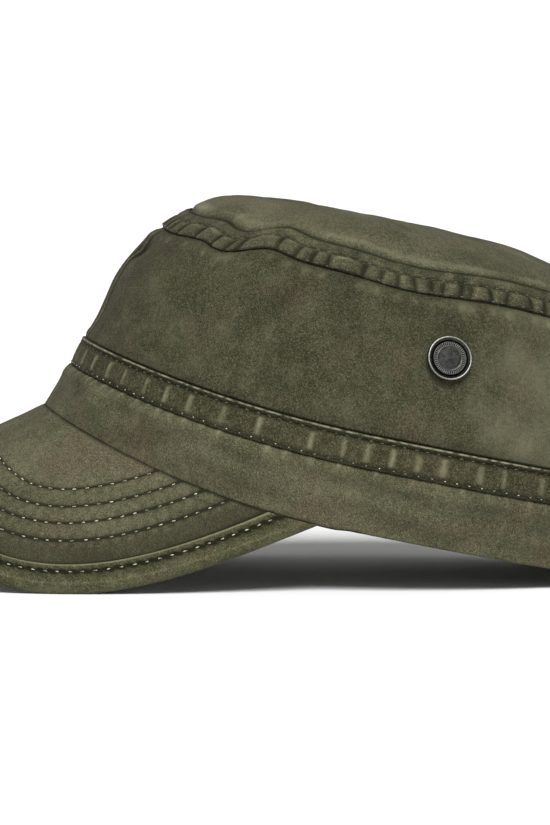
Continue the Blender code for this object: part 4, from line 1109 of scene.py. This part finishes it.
def visor_cloth(name, top, show_top):
    """One cloth of the visor: the side that shows has the relief, the side between the cloths is plain."""
    inset = GAP + BINDING_WALL + GAP
    end, turn_end = outline_end(inset)
    probe = np.linspace(0.0, 1.0, 200)
    angle, run = visor_outline(probe * end, inset)
    root_angle, root_run, _ = seam(probe * turn_end, 0.0)
    width = np.hypot((angle - root_angle) * VISOR_RADIUS, run - root_run)
    tip = float(np.interp(-VISOR_TIP, -width, probe))
    ways = np.linspace(-tip, tip, 401)

    def layer(out, shares):
        """The cloth's grid at a depth: shares of the way from the seam to the outline."""
        angle, run = visor_outline(ways * end, inset)
        root_angle, root_run, _ = seam(np.abs(ways) * turn_end, out)
        root_angle = root_angle * np.sign(ways)
        share = shares[:, None]
        return root_angle + (angle - root_angle) * share, root_run + (run - root_run) * share

    fine, plain = np.linspace(0.0, 1.0, 108), np.array([0.0, 0.25, 0.5, 0.7, 0.85, 0.95, 1.0])
    seen, hidden = (top, top - VISOR_WALL) if show_top else (top - VISOR_WALL, top)
    angle, run = layer(seen, fine)
    relief, wear_and_shading = visor_relief(angle, run)
    outer = visor_surface(angle, run, seen + (relief if show_top else -relief))
    angle_in, run_in = layer(hidden, plain)
    inner = visor_surface(angle_in, run_in, np.full(angle_in.shape, hidden))
    chart = np.stack([angle * VISOR_RADIUS, run], axis=-1)
    piece = cloth_wall(name + "_cloth", placed(outer), placed(inner), chart, CLOTH, wear_and_shading, False)
    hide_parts(name)
    return piece


visor_upper = visor_cloth("visor_upper", 0.0, True)
visor_under = visor_cloth("visor_under", -VISOR_WALL - GAP, False)

# %% [markdown]
# ## The binding
# A bias strip is folded round the visor's edge like a U and sewn through. Its section is carried along the
# edge: a soft roll at each hem, a stitch groove beside it, and a rounded nose at the edge.


# %% Fold the binding round the visor's edge
def binding_path():
    """The U section as a line from the upper hem round the nose to the under hem: inset and depth."""
    top, bottom = GAP + BINDING_WALL, -VISOR_THICK - GAP - BINDING_WALL
    middle, half = (top + bottom) / 2.0, (top - bottom) / 2.0
    nose = np.linspace(0.0, np.pi, 15)
    inset = np.concatenate([np.linspace(BINDING_WIDTH, half, 26)[:-1], half - half * np.sin(nose),
                            np.linspace(half, BINDING_WIDTH, 16)[1:]])
    depth = np.concatenate([np.full(25, top), middle + half * np.cos(nose), np.full(15, bottom)])
    return inset, depth


def binding_place(inset, depth, columns):
    """The section carried along the edge; near its ends it turns to lie along the seam."""
    share = inset / BINDING_WIDTH
    edge_end, edge_turn = outline_end(0.0)
    fold_end, fold_turn = outline_end(BINDING_WIDTH)

    def between(way):
        """The same way along the outer edge and the hem's line, and the share between the two."""
        outside = visor_outline(way * edge_end, 0.0)
        inside = visor_outline(way * fold_end, BINDING_WIDTH)
        return [start + (end - start) * share for start, end in zip(outside, inside)]

    ways = np.linspace(-1.0, 1.0, columns)[:, None]
    angle, run = between(ways)
    end_angle, end_run = between(np.ones((1, 1)))
    root_turn = edge_turn + (fold_turn - edge_turn) * share
    root_angle, root_run, _ = seam(root_turn, depth)
    near_end = ease((np.abs(ways) - 1.0) / BINDING_END + 1.0)
    return angle + near_end * np.sign(ways) * (root_angle - end_angle), run + near_end * (root_run - end_run)


inset, depth = binding_path()
columns = 641
EDGE_LENGTH = 2.0 * float(EDGE_RUN[-1]) * outline_end(0.0)[0]
along = np.linspace(0.0, EDGE_LENGTH, columns)[:, None]
tangent = np.gradient(np.stack([inset, depth], axis=-1), axis=0)
tangent = tangent / np.linalg.norm(tangent, axis=1, keepdims=True)
outward = np.stack([tangent[:, 1], -tangent[:, 0]], axis=-1)
facing = outward[:, 1] * (depth - depth.mean()) + outward[:, 0] * (inset - 0.004)
outward = np.where((facing < 0.0)[:, None], -outward, outward)
from_hem = BINDING_WIDTH - inset
upper_side = (np.arange(len(inset)) < 26).astype(float)
under_side = (np.arange(len(inset)) > 38).astype(float)
sewn = upper_side + under_side
STITCH_FROM_HEM = 0.0024
from_row = from_hem - STITCH_FROM_HEM

# The relief: a soft roll at each hem, the row's groove, and a pucker beside each stitch
pull = 0.5 - 0.5 * np.cos(2.0 * np.pi * along / STITCH_PITCH)
uneven = ripple(np.concatenate([along, 0.0 * along, 0.0 * along], axis=1), 0.011, 95)[:, None]
hem_roll = 0.00026 * hump((from_hem - 0.0006) / 0.0005) * sewn
groove = 0.00042 * hump(from_row / 0.00055) * sewn
puckers = 0.00022 * (pull - 0.5) * (1.0 + 0.5 * uneven) * hump((np.abs(from_row) - 0.0010) / 0.0011)
relief = hem_roll - groove + puckers * sewn - 0.00028 * hump(from_hem / 0.00025) * sewn
angle, run = binding_place(inset, depth, columns)
outer = visor_surface(angle, run, depth + outward[:, 1] * relief)
inward = np.linspace(BINDING_WIDTH, GAP + BINDING_WALL, 8)
back_inset = np.concatenate([inward, inward[::-1]])
back_depth = np.concatenate([np.full(8, GAP), np.full(8, -VISOR_THICK - GAP)])
angle_in, run_in = binding_place(back_inset, back_depth, columns)
inner = visor_surface(angle_in, run_in, np.broadcast_to(back_depth, angle_in.shape))

# The hem and the nose are painted paler, for rubbed wear and as painted highlight, and the upper face towards
# the nose is painted paler as painted highlight; the stitch row, its holes and the slope beyond get painted
# shade
wear_and_shading = 0.90 * hump((from_hem - 0.0003) / 0.00032) * sewn - 0.50 * hump(from_row / 0.0005) * sewn
wear_and_shading = wear_and_shading - 1.30 * hump((from_row - 0.0001) / 0.0010) * sewn * (0.25 + 0.75 * pull ** 0.6)
wear_and_shading = wear_and_shading - 0.20 * hump((from_hem - 0.0040) / 0.0014) * sewn
wear_and_shading = wear_and_shading + 0.34 * ease((from_hem - 0.0046) / 0.0030) * upper_side
wear_and_shading = wear_and_shading + 0.16 * hump(inset / 0.0016) * (1.0 + ripple(outer, 0.014, 96))
path_run = np.concatenate([[0.0], np.cumsum(np.hypot(np.diff(inset), np.diff(depth)))])
chart = np.stack(np.broadcast_arrays(along, path_run), axis=-1)
grids = [grid.transpose(1, 0, 2) for grid in (placed(outer), placed(inner), chart)]
binding = cloth_wall("visor_binding_cloth", *grids, BINDING_CLOTH, wear_and_shading.T, False)
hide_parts("visor_binding")

# %% [markdown]
# ## Stitches
# Real thread shows as short arched lengths that dive into the cloth. One small capsule is worked out once
# and copied along each seam line by array arithmetic, with its length, turn and place a little uneven.


# %% Sew the stitches
def capsule():
    """A unit stitch: three rings of six and two tips, arched upwards, its ends sunk."""
    ring_at, ring_size = np.array([-0.62, 0.0, 0.62]), np.array([0.86, 1.0, 0.86])
    round_it = np.arange(6) * np.pi / 3.0
    points = [[-1.0, 0.0, -1.3]]
    for at, size in zip(ring_at, ring_size):
        for angle in round_it:
            up = size * math.sin(angle) + 0.9 * (1.0 - at * at) - 0.6
            points.append([at, size * math.cos(angle), up])
    points.append([1.0, 0.0, -1.3])
    faces = [[0, 1 + (k + 1) % 6, 1 + k] for k in range(6)]
    for start in (1, 7):
        faces += [[start + k, start + (k + 1) % 6, start + 6 + (k + 1) % 6, start + 6 + k] for k in range(6)]
    faces += [[13 + k, 13 + (k + 1) % 6, 19] for k in range(6)]
    return np.array(points), faces


def stitches(name, path, up, pitch, length, thick, material, seed):
    """Copies of the capsule at even steps along a path, each turned to the path and the surface."""
    chance = np.random.default_rng(seed)
    run = lengths_along(path)
    count = int(run[-1] / pitch)
    at = (np.arange(count) + 0.5) * run[-1] / count + chance.uniform(-0.06, 0.06, count) * pitch

    def look(values, where):
        """The values at a distance along the path."""
        return np.stack([np.interp(where, run, values[:, k]) for k in range(3)], axis=-1)

    centre, ahead, behind = look(path, at), look(path, at + 0.0004), look(path, at - 0.0004)
    tangent = ahead - behind
    tangent = tangent / np.linalg.norm(tangent, axis=1, keepdims=True)
    normal = look(up, at)
    normal = normal - (normal * tangent).sum(axis=1, keepdims=True) * tangent
    normal = normal / np.linalg.norm(normal, axis=1, keepdims=True)
    side = np.cross(normal, tangent)
    sway = chance.uniform(-0.16, 0.16, count)[:, None]
    swayed = tangent * np.cos(sway) + side * np.sin(sway)
    side = side * np.cos(sway) - tangent * np.sin(sway)
    shape, faces = capsule()
    long = length / 2.0 * chance.uniform(0.86, 1.12, count)
    points = centre[:, None, :] + swayed[:, None, :] * (shape[:, 0] * long[:, None])[..., None]
    points = points + side[:, None, :] * (shape[:, 1] * thick / 2.0)[None, :, None]
    points = points + normal[:, None, :] * (shape[:, 2] * thick / 2.0)[None, :, None]
    numbers = [[corner + len(shape) * k for corner in face] for k in range(count) for face in faces]
    flat = points.reshape(-1, 3)
    piece = mesh_piece(name, flat, numbers, flat[:, :2], material)
    return piece


def on_crown(turn, height, out):
    """A path on the crown in the world, and the crown's normals there."""
    path = crown_skin(turn, height, out)
    return placed(path), placed(path + normals(crown, turn, height)) - placed(path)


thread_turns = np.linspace(0.0, 2.0 * np.pi, 3000)
for name, share, pitch, length, thread, seed in (
        ("stitches_tape_top", 0.830, 0.0036, 0.0015, OLIVE_THREAD, 101),
        ("stitches_tape_foot", 0.085, 0.0041, 0.0008, PALE_THREAD, 102)):
    path, up = on_crown(thread_turns, tape_height(share), tape_out(thread_turns, share))
    stitches(name, path, up, pitch, length, 0.00034, thread, seed)
for name, share, seed in (("stitches_strip_upper", 0.595, 103), ("stitches_strip_lower", 0.040, 104)):
    height = strip_height(share) + wave(thread_turns)
    path, up = on_crown(thread_turns, height, strip_out(thread_turns, share))
    stitches(name, path, up, 0.0034, 0.0015, 0.00036, OLIVE_THREAD, seed)

# %% [markdown]
# The visor's rows are sewn with thicker, paler thread. The needle goes through both cloths, so each row
# has its stitches on the upper and on the under face, and so has the row that holds the binding.


# %% Sew the visor's rows and its binding
VISOR_STITCH, VISOR_THREAD = 0.0016, 0.00046


def on_visor(angle, run, out, side):
    """A path on the visor in the world, and the directions away from its upper or under face."""
    path = visor_surface(angle, run, out)
    away = visor_surface(angle, run, out + side * 0.001)
    return placed(path), placed(away) - placed(path)


def visor_stitches(name, angle, run, out, side, seed):
    """A row of pale stitches along a line on the visor, on its upper (1) or under (-1) face."""
    path, up = on_visor(angle, run, out, side)
    stitches(name, path, up, STITCH_PITCH, VISOR_STITCH, VISOR_THREAD, PALE_THREAD, seed)


for number, (angle, run, _, _) in enumerate(ROWS):
    relief = visor_relief(angle[None, :], run[None, :])[0][0]
    visor_stitches(f"stitches_visor_row_{number + 1}", angle, run, relief, 1.0, 110 + number)
    visor_stitches(f"stitches_visor_under_row_{number + 1}", angle, run, -VISOR_THICK - relief, -1.0,
                   120 + number)
sew_inset = np.full(3, BINDING_WIDTH - STITCH_FROM_HEM)
for name, depth_at, side, seed in (
        ("stitches_binding", GAP + BINDING_WALL - 0.00040, 1.0, 131),
        ("stitches_binding_under", -VISOR_THICK - GAP - BINDING_WALL + 0.00040, -1.0, 132)):
    angle, run = binding_place(sew_inset, np.full(3, depth_at), 1500)
    visor_stitches(name, angle[6:-6, 0], run[6:-6, 0], depth_at, side, seed)

# %% [markdown]
# A felled seam is folded over and sewn down twice, so the left panel has two lines of stitches beside the
# centre front and two beside the centre back. Each line keeps its distance from the centre line.


# %% Sew down the felled seams
def fell_line(across, way):
    """Turn and height along the left panel at a fixed distance from the centre, front (1) or back (-1)."""
    heights = np.linspace(TAPE_TOP + 0.0010, STRIP_FOOT - 0.0016, 160)
    near = np.linspace(0.0, 0.5, 120)
    turns = near if way > 0.0 else np.pi - near
    levels = [crown(turns, np.full(120, height))[:, 0] for height in heights]
    turn = np.array([np.interp(across, level, turns) for level in levels])
    return turn, heights + wave(turn) * (heights - TAPE_TOP) / (STRIP_FOOT - TAPE_TOP)


for number, (way, across) in enumerate((way, across) for way in (1.0, -1.0) for across in FELL_LINES):
    turn, height = fell_line(across, way)
    path, up = on_crown(turn, height, panel_out(turn, height, True))
    stitches(f"stitches_fell_{number + 1}", path, up, 0.0036, 0.0017, 0.00040, OLIVE_THREAD,
             140 + number)

# %% [markdown]
# ## How each cloth was cut
# A maker cuts every piece flat before sewing. A cut is as long as the cloth runs round the cap, and as wide
# as it reaches from seam to seam. Its area is that of the smooth surface without its puckers, because the
# puckers only take up what the thread has drawn in.


def smooth_area(grid):
    """The sum of the areas of a grid's cells, each half the cross product of its diagonals."""
    across = grid[1:, 1:] - grid[:-1, :-1]
    other = grid[1:, :-1] - grid[:-1, 1:]
    return float(np.linalg.norm(np.cross(across, other), axis=-1).sum() / 2.0)


def reach(line):
    """The length of a line of points."""
    return float(lengths_along(line)[-1])


half_turns = np.linspace(0.0, np.pi, 400)
panel_heights = np.linspace(BAND_HEIGHT + TAPE_WIDTH / 2.0, CROWN_HEIGHT - STRIP_WIDTH / 2.0, 60)
turn, height = np.meshgrid(half_turns, panel_heights)
panel_grid = crown(turn, height)
panel_cut = (max(reach(row) for row in panel_grid), reach(panel_grid[:, 200]))
panel_area = min(smooth_area(panel_grid), panel_cut[0] * panel_cut[1])
turn, inward = np.meshgrid(ring, np.linspace(0.0, 1.0, 80))
top_grid = dome(turn, inward)
inwards = np.linspace(0.0, 1.0, 80)
top_reach = [reach(dome(np.full(80, way), inwards)) for way in (np.pi / 2.0, 0.0, np.pi)]
top_cut = (top_reach[0] * 2.0, top_reach[1] + top_reach[2])
top_area = min(smooth_area(top_grid), top_cut[0] * top_cut[1])
seam_side = np.stack([SEAM_ANGLES * VISOR_RADIUS, SEAM_RUNS], axis=-1)
visor_line = np.concatenate([FLAT_LINE, seam_side[::-1], seam_side[1:] * np.array([-1.0, 1.0])])
visor_cut = tuple(float(v) for v in np.ptp(visor_line, axis=0))
following = np.roll(visor_line, -1, axis=0)
visor_area = abs(float((visor_line[:, 0] * following[:, 1] - following[:, 0] * visor_line[:, 1]).sum())) / 2.0
band_cut = (float(BAND_RUN[-1]), BAND_HEIGHT + TAPE_WIDTH / 2.0)
tape_cut = (float(TAPE_RUN[-1]), TAPE_WIDTH)
STRIP_CUT_WIDTH = 0.0115
strip_cut = (float(STRIP_RUN[-1]), STRIP_CUT_WIDTH)
binding_cut = (float(EDGE_LENGTH), float(path_run[-1]))


for name, cut, area in (
        ("band", band_cut, None), ("panels", panel_cut, panel_area), ("top", top_cut, top_area),
        ("tape", tape_cut, None), ("strip", strip_cut, None), ("visor", visor_cut, visor_area),
        ("binding", binding_cut, None)):
    size = [round(v * 1000.0, 1) for v in cut]
    print(name, "cut", size, "mm, area", area and round(area * 10000.0, 1), "cm2")

# %% [markdown]
# ## The tack button
# A stamped metal cap with a lip painted bright, for rubbed wear and as painted highlight, a groove painted
# dark as painted shade, and a recessed disc with a fine knurled ring.
# Both are profiles turned about the button's own axis. The disc's middle is left plain.


# %% Turn the button
BUTTON_RADIUS, BUTTON_DEPTH, BUTTON_RECESS, BUTTON_GAP = 0.0070, 0.0024, 0.0011, 0.0005
FACE_RADIUS, FACE_DEPTH = 0.0053, 0.0005
SOCKET_RADIUS, SOCKET_DEPTH = 0.0016, 0.0006
button_turn, button_height = np.array([BUTTON_TURN]), np.array([BUTTON_HEIGHT])
seat = crown_skin(button_turn, button_height, np.zeros(1))[0]
axis = crown_skin(button_turn, button_height, np.ones(1))[0] - seat
axis = axis / np.linalg.norm(axis)
side = np.cross([0.0, 0.0, 1.0], axis)
side = side / np.linalg.norm(side)
rise = np.cross(axis, side)


def turned(name, profile, relief, tone_shift, material, columns=144):
    """A closed profile of radius and height turned about the button's axis, plus a relief on its face.

    The last function gives the attribute from the radius, the angle and the height: rubbed wear and painted
    highlight above 0, painted shade below 0."""
    angles = np.arange(columns) * 2.0 * np.pi / columns
    radius, height = profile[1:-1, 0][:, None], profile[1:-1, 1][:, None]
    toned = np.concatenate([tone_shift(radius, angles[None, :], height).ravel(), np.zeros(2)])
    height = height + relief(radius, angles[None, :], height)
    x, y = radius * np.cos(angles), radius * np.sin(angles)
    grid = seat + x[..., None] * side + y[..., None] * rise + height[..., None] * axis
    poles = seat + profile[[0, -1], 1][:, None] * axis
    points = np.concatenate([grid.reshape(-1, 3), poles])
    first = fan(0, columns, len(points) - 2)[:, [1, 0, 2]]
    final = fan((len(grid) - 1) * columns, columns, len(points) - 1)
    faces = grid_quads(len(grid), columns, True).tolist() + first.tolist() + final.tolist()
    chart = np.concatenate([np.stack([x, y], axis=-1).reshape(-1, 2), np.zeros((2, 2))])
    return mesh_piece(name, placed(points), faces, chart, material, toned)


def antique_metal(name, dark, toned, bright, low, high):
    """Blackened brass: a dark film broken by noise, painted bright above 0 of the attribute, for rubbed wear
    and as painted highlight, near black below 0 as painted shade.
    """
    material, tree, shader = new_material(name)
    shader.inputs["Metallic"].default_value = 0.85
    place = node(tree, "ShaderNodeTexCoord").outputs["Object"]
    tone_shift = spread(tree, noise(tree, place, 700.0, 5.0, 0.65), 0.42, 0.68)
    film = blend_colours(tree, tone_shift, dark, toned)
    wear_and_shading = node(tree, "ShaderNodeAttribute", attribute_name="wear_and_shading").outputs["Fac"]
    # Bright for rubbed wear and as painted highlight, near black as painted shade
    film = blend_colours(tree, spread(tree, wear_and_shading, 0.0, 1.0), film, bright)
    film = blend_colours(tree, spread(tree, wear_and_shading, 0.0, -1.0), film, (0.008, 0.008, 0.007))
    tree.links.new(film, shader.inputs["Base Color"])
    gloss = spread(tree, noise(tree, place, 1600.0, 4.0), 0.3, 0.7, low, high)
    tree.links.new(gloss, shader.inputs["Roughness"])
    bump_from(tree, shader, noise(tree, place, 3800.0, 3.0), 0.35, 0.00006)
    return material


LIP_METAL = antique_metal("antique_lip", (0.028, 0.028, 0.024), (0.060, 0.059, 0.052), (0.22, 0.22, 0.195),
                          0.30, 0.46)
FACE_METAL = antique_metal("antique_face", (0.014, 0.014, 0.013), (0.040, 0.039, 0.036), (0.17, 0.17, 0.15),
                           0.34, 0.55)
top, back = BUTTON_GAP + BUTTON_DEPTH, BUTTON_GAP
floor_at = top - BUTTON_RECESS
lip_turn = np.linspace(0.0, np.pi, 11)
lip_middle, lip_half = BUTTON_RADIUS - 0.00036, 0.00036
lip = np.stack([lip_middle - lip_half * np.cos(lip_turn), top - 0.0003 + 0.0003 * np.sin(lip_turn)], axis=-1)
inside = FACE_RADIUS + GAP
profile = np.concatenate([
    [[0.0, floor_at], [0.002, floor_at], [inside - 0.0001, floor_at], [inside, floor_at + 0.0001],
     [inside + 0.0001, floor_at + 0.00045], [inside + 0.0003, floor_at + 0.0006]], lip,
    [[BUTTON_RADIUS, back + 0.0007], [BUTTON_RADIUS - 0.0002, back + 0.0002], [BUTTON_RADIUS - 0.0006, back],
     [SOCKET_RADIUS, back], [SOCKET_RADIUS, back + SOCKET_DEPTH], [0.0, back + SOCKET_DEPTH]]])


def no_relief(radius, angle, height):
    """The cap is smooth: zero at every radius and angle."""
    return np.zeros(np.broadcast(radius, angle).shape)


def lip_wear_and_shading(radius, angle, height):
    """Painted bright on top of the lip, for rubbed wear and as painted highlight; painted shade in the groove
    round the disc.
    """
    bright = hump((radius - lip_middle) / 0.00026) * (height > floor_at + 0.0003)
    dark = 0.8 * hump((radius - inside) / 0.0003)
    return np.broadcast_to(bright - dark, np.broadcast(radius, angle).shape)


button_cap = turned("button_lip", profile, no_relief, lip_wear_and_shading, LIP_METAL)
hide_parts("button_cap")

RIDGE_COUNT = 48.0
disc_back = floor_at + GAP
disc_top = disc_back + FACE_DEPTH
rings = np.linspace(0.0, FACE_RADIUS - 0.0002, 44)
swell = 0.00014 * hump((rings - 0.0039) / 0.00020) + 0.00010 * hump((rings - 0.0051) / 0.00015)
swell = swell + 0.00010 * (1.0 - (rings / 0.0037) ** 2) * (rings < 0.0037)
profile = np.concatenate([np.stack([rings, disc_top + swell - swell[-1]], axis=-1),
                          [[FACE_RADIUS, disc_top - 0.0002], [FACE_RADIUS, disc_back], [0.0, disc_back]]])


def between_rings(radius):
    """1 between the two raised rings of the disc, easing to 0 at each."""
    return ease((radius - 0.00410) / 0.0002) * ease((0.00500 - radius) / 0.0002)


def knurl(radius, angle, height):
    """Fine radial ridges between the two raised rings of the disc."""
    return 0.00011 * between_rings(radius) * (height > disc_top - 0.0001) * np.cos(angle * RIDGE_COUNT)


def knurl_wear_and_shading(radius, angle, height):
    """Bright on the knurl tops and raised rings, for rubbed wear and as painted highlight; painted shade at
    the disc's edge.
    """
    tops = 0.9 * between_rings(radius) * np.clip(np.cos(angle * RIDGE_COUNT), -0.4, 1.0)
    rings = 0.30 * hump((radius - 0.0039) / 0.0002) + 0.30 * hump((radius - 0.0051) / 0.00015)
    return tops + rings - 0.8 * hump((radius - FACE_RADIUS) / 0.0001)


button_face = turned("button_disc", profile, knurl, knurl_wear_and_shading, FACE_METAL, 288)
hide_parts("button_face")
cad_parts["button_tack"].data.materials.clear()
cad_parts["button_tack"].data.materials.append(LIP_METAL)

# %% [markdown]
# ## Floor, light and camera
# The cap stands on a pale floor under one large soft light from the camera's side. The room is white near
# the horizon and grey overhead, as in a light tent that is open at the top, so every side gets some light.
# The camera looks at the wearer's left side, a little from the front and just above the floor.


# %% Set the stage
def pale_floor():
    """A flat square of pale paper, large enough to reach the horizon."""
    points = [(x, y, 0.0) for x, y in ((-20.0, -20.0), (20.0, -20.0), (20.0, 20.0), (-20.0, 20.0))]
    mesh = bpy.data.meshes.new("pale_floor")
    mesh.from_pydata(points, [], [(0, 1, 2, 3)])
    thing = bpy.data.objects.new("pale_floor", mesh)
    bpy.context.scene.collection.objects.link(thing)
    material, tree, shader = new_material("pale_paper")
    shader.inputs["Specular IOR Level"].default_value = 0.1
    place = node(tree, "ShaderNodeTexCoord").outputs["Object"]
    tone = blend_colours(tree, noise(tree, place, 3.0, 3.0), (0.92, 0.92, 0.915), (0.95, 0.95, 0.945))
    tree.links.new(tone, shader.inputs["Base Color"])
    gloss = spread(tree, noise(tree, place, 300.0, 2.0), 0.3, 0.7, 0.85, 0.95)
    tree.links.new(gloss, shader.inputs["Roughness"])
    mesh.materials.append(material)
    return thing


def far_lamp(name, azimuth, elevation, softness, power):
    """Parallel light from an azimuth, measured from the front towards the wearer's left, and an elevation."""
    data = bpy.data.lights.new(name, "SUN")
    data.angle, data.energy = math.radians(softness), power
    light = bpy.data.objects.new(name, data)
    bpy.context.scene.collection.objects.link(light)
    light.rotation_euler = (math.radians(90.0 - elevation), 0.0, math.radians(azimuth))
    return light


pale_floor()
far_lamp("soft_key", 92.0, 44.0, 30.0, 4.15)
world = bpy.data.worlds.new("pale_room")
bpy.context.scene.world = world
world.use_nodes = True
tree = world.node_tree
sky = node(tree, "ShaderNodeSeparateXYZ")
tree.links.new(node(tree, "ShaderNodeTexCoord").outputs["Generated"], sky.inputs[0])
level = arithmetic(tree, "ABSOLUTE", sky.outputs["Z"], 0.0)
tree.nodes["Background"].inputs["Color"].default_value = (1.0, 1.0, 1.0, 1.0)
tree.links.new(spread(tree, level, 0.24, 0.50, 1.06, 0.16), tree.nodes["Background"].inputs["Strength"])
bpy.context.scene.view_settings.view_transform = "Standard"

# %% Place the camera
AIM = np.array([0.0, 0.022438, 0.0612])
AIM_AT = np.array([348.77, 384.51])
IMAGE = np.array([550.0, 825.0])
AZIMUTH, ELEVATION, DISTANCE, PIXELS = math.radians(87.5), math.radians(2.5), 1.6517, 3100.0
back_way = np.array([math.sin(AZIMUTH) * math.cos(ELEVATION), -math.cos(AZIMUTH) * math.cos(ELEVATION),
                     math.sin(ELEVATION)])
data = bpy.data.cameras.new("camera")
data.sensor_width = 36.0
data.lens = PIXELS * DISTANCE / IMAGE.max() * data.sensor_width
data.shift_x = float((IMAGE[0] / 2.0 - AIM_AT[0]) / IMAGE.max())
data.shift_y = float((AIM_AT[1] - IMAGE[1] / 2.0) / IMAGE.max())
data.clip_start, data.clip_end = 0.05, 60.0
camera = bpy.data.objects.new("camera", data)
bpy.context.scene.collection.objects.link(camera)
camera.location = AIM + back_way * DISTANCE
camera.rotation_euler = (math.pi / 2.0 - ELEVATION, 0.0, AZIMUTH)
bpy.context.scene.camera = camera
print("lens", round(data.lens, 1), "mm, shift", round(data.shift_x, 4), round(data.shift_y, 4))
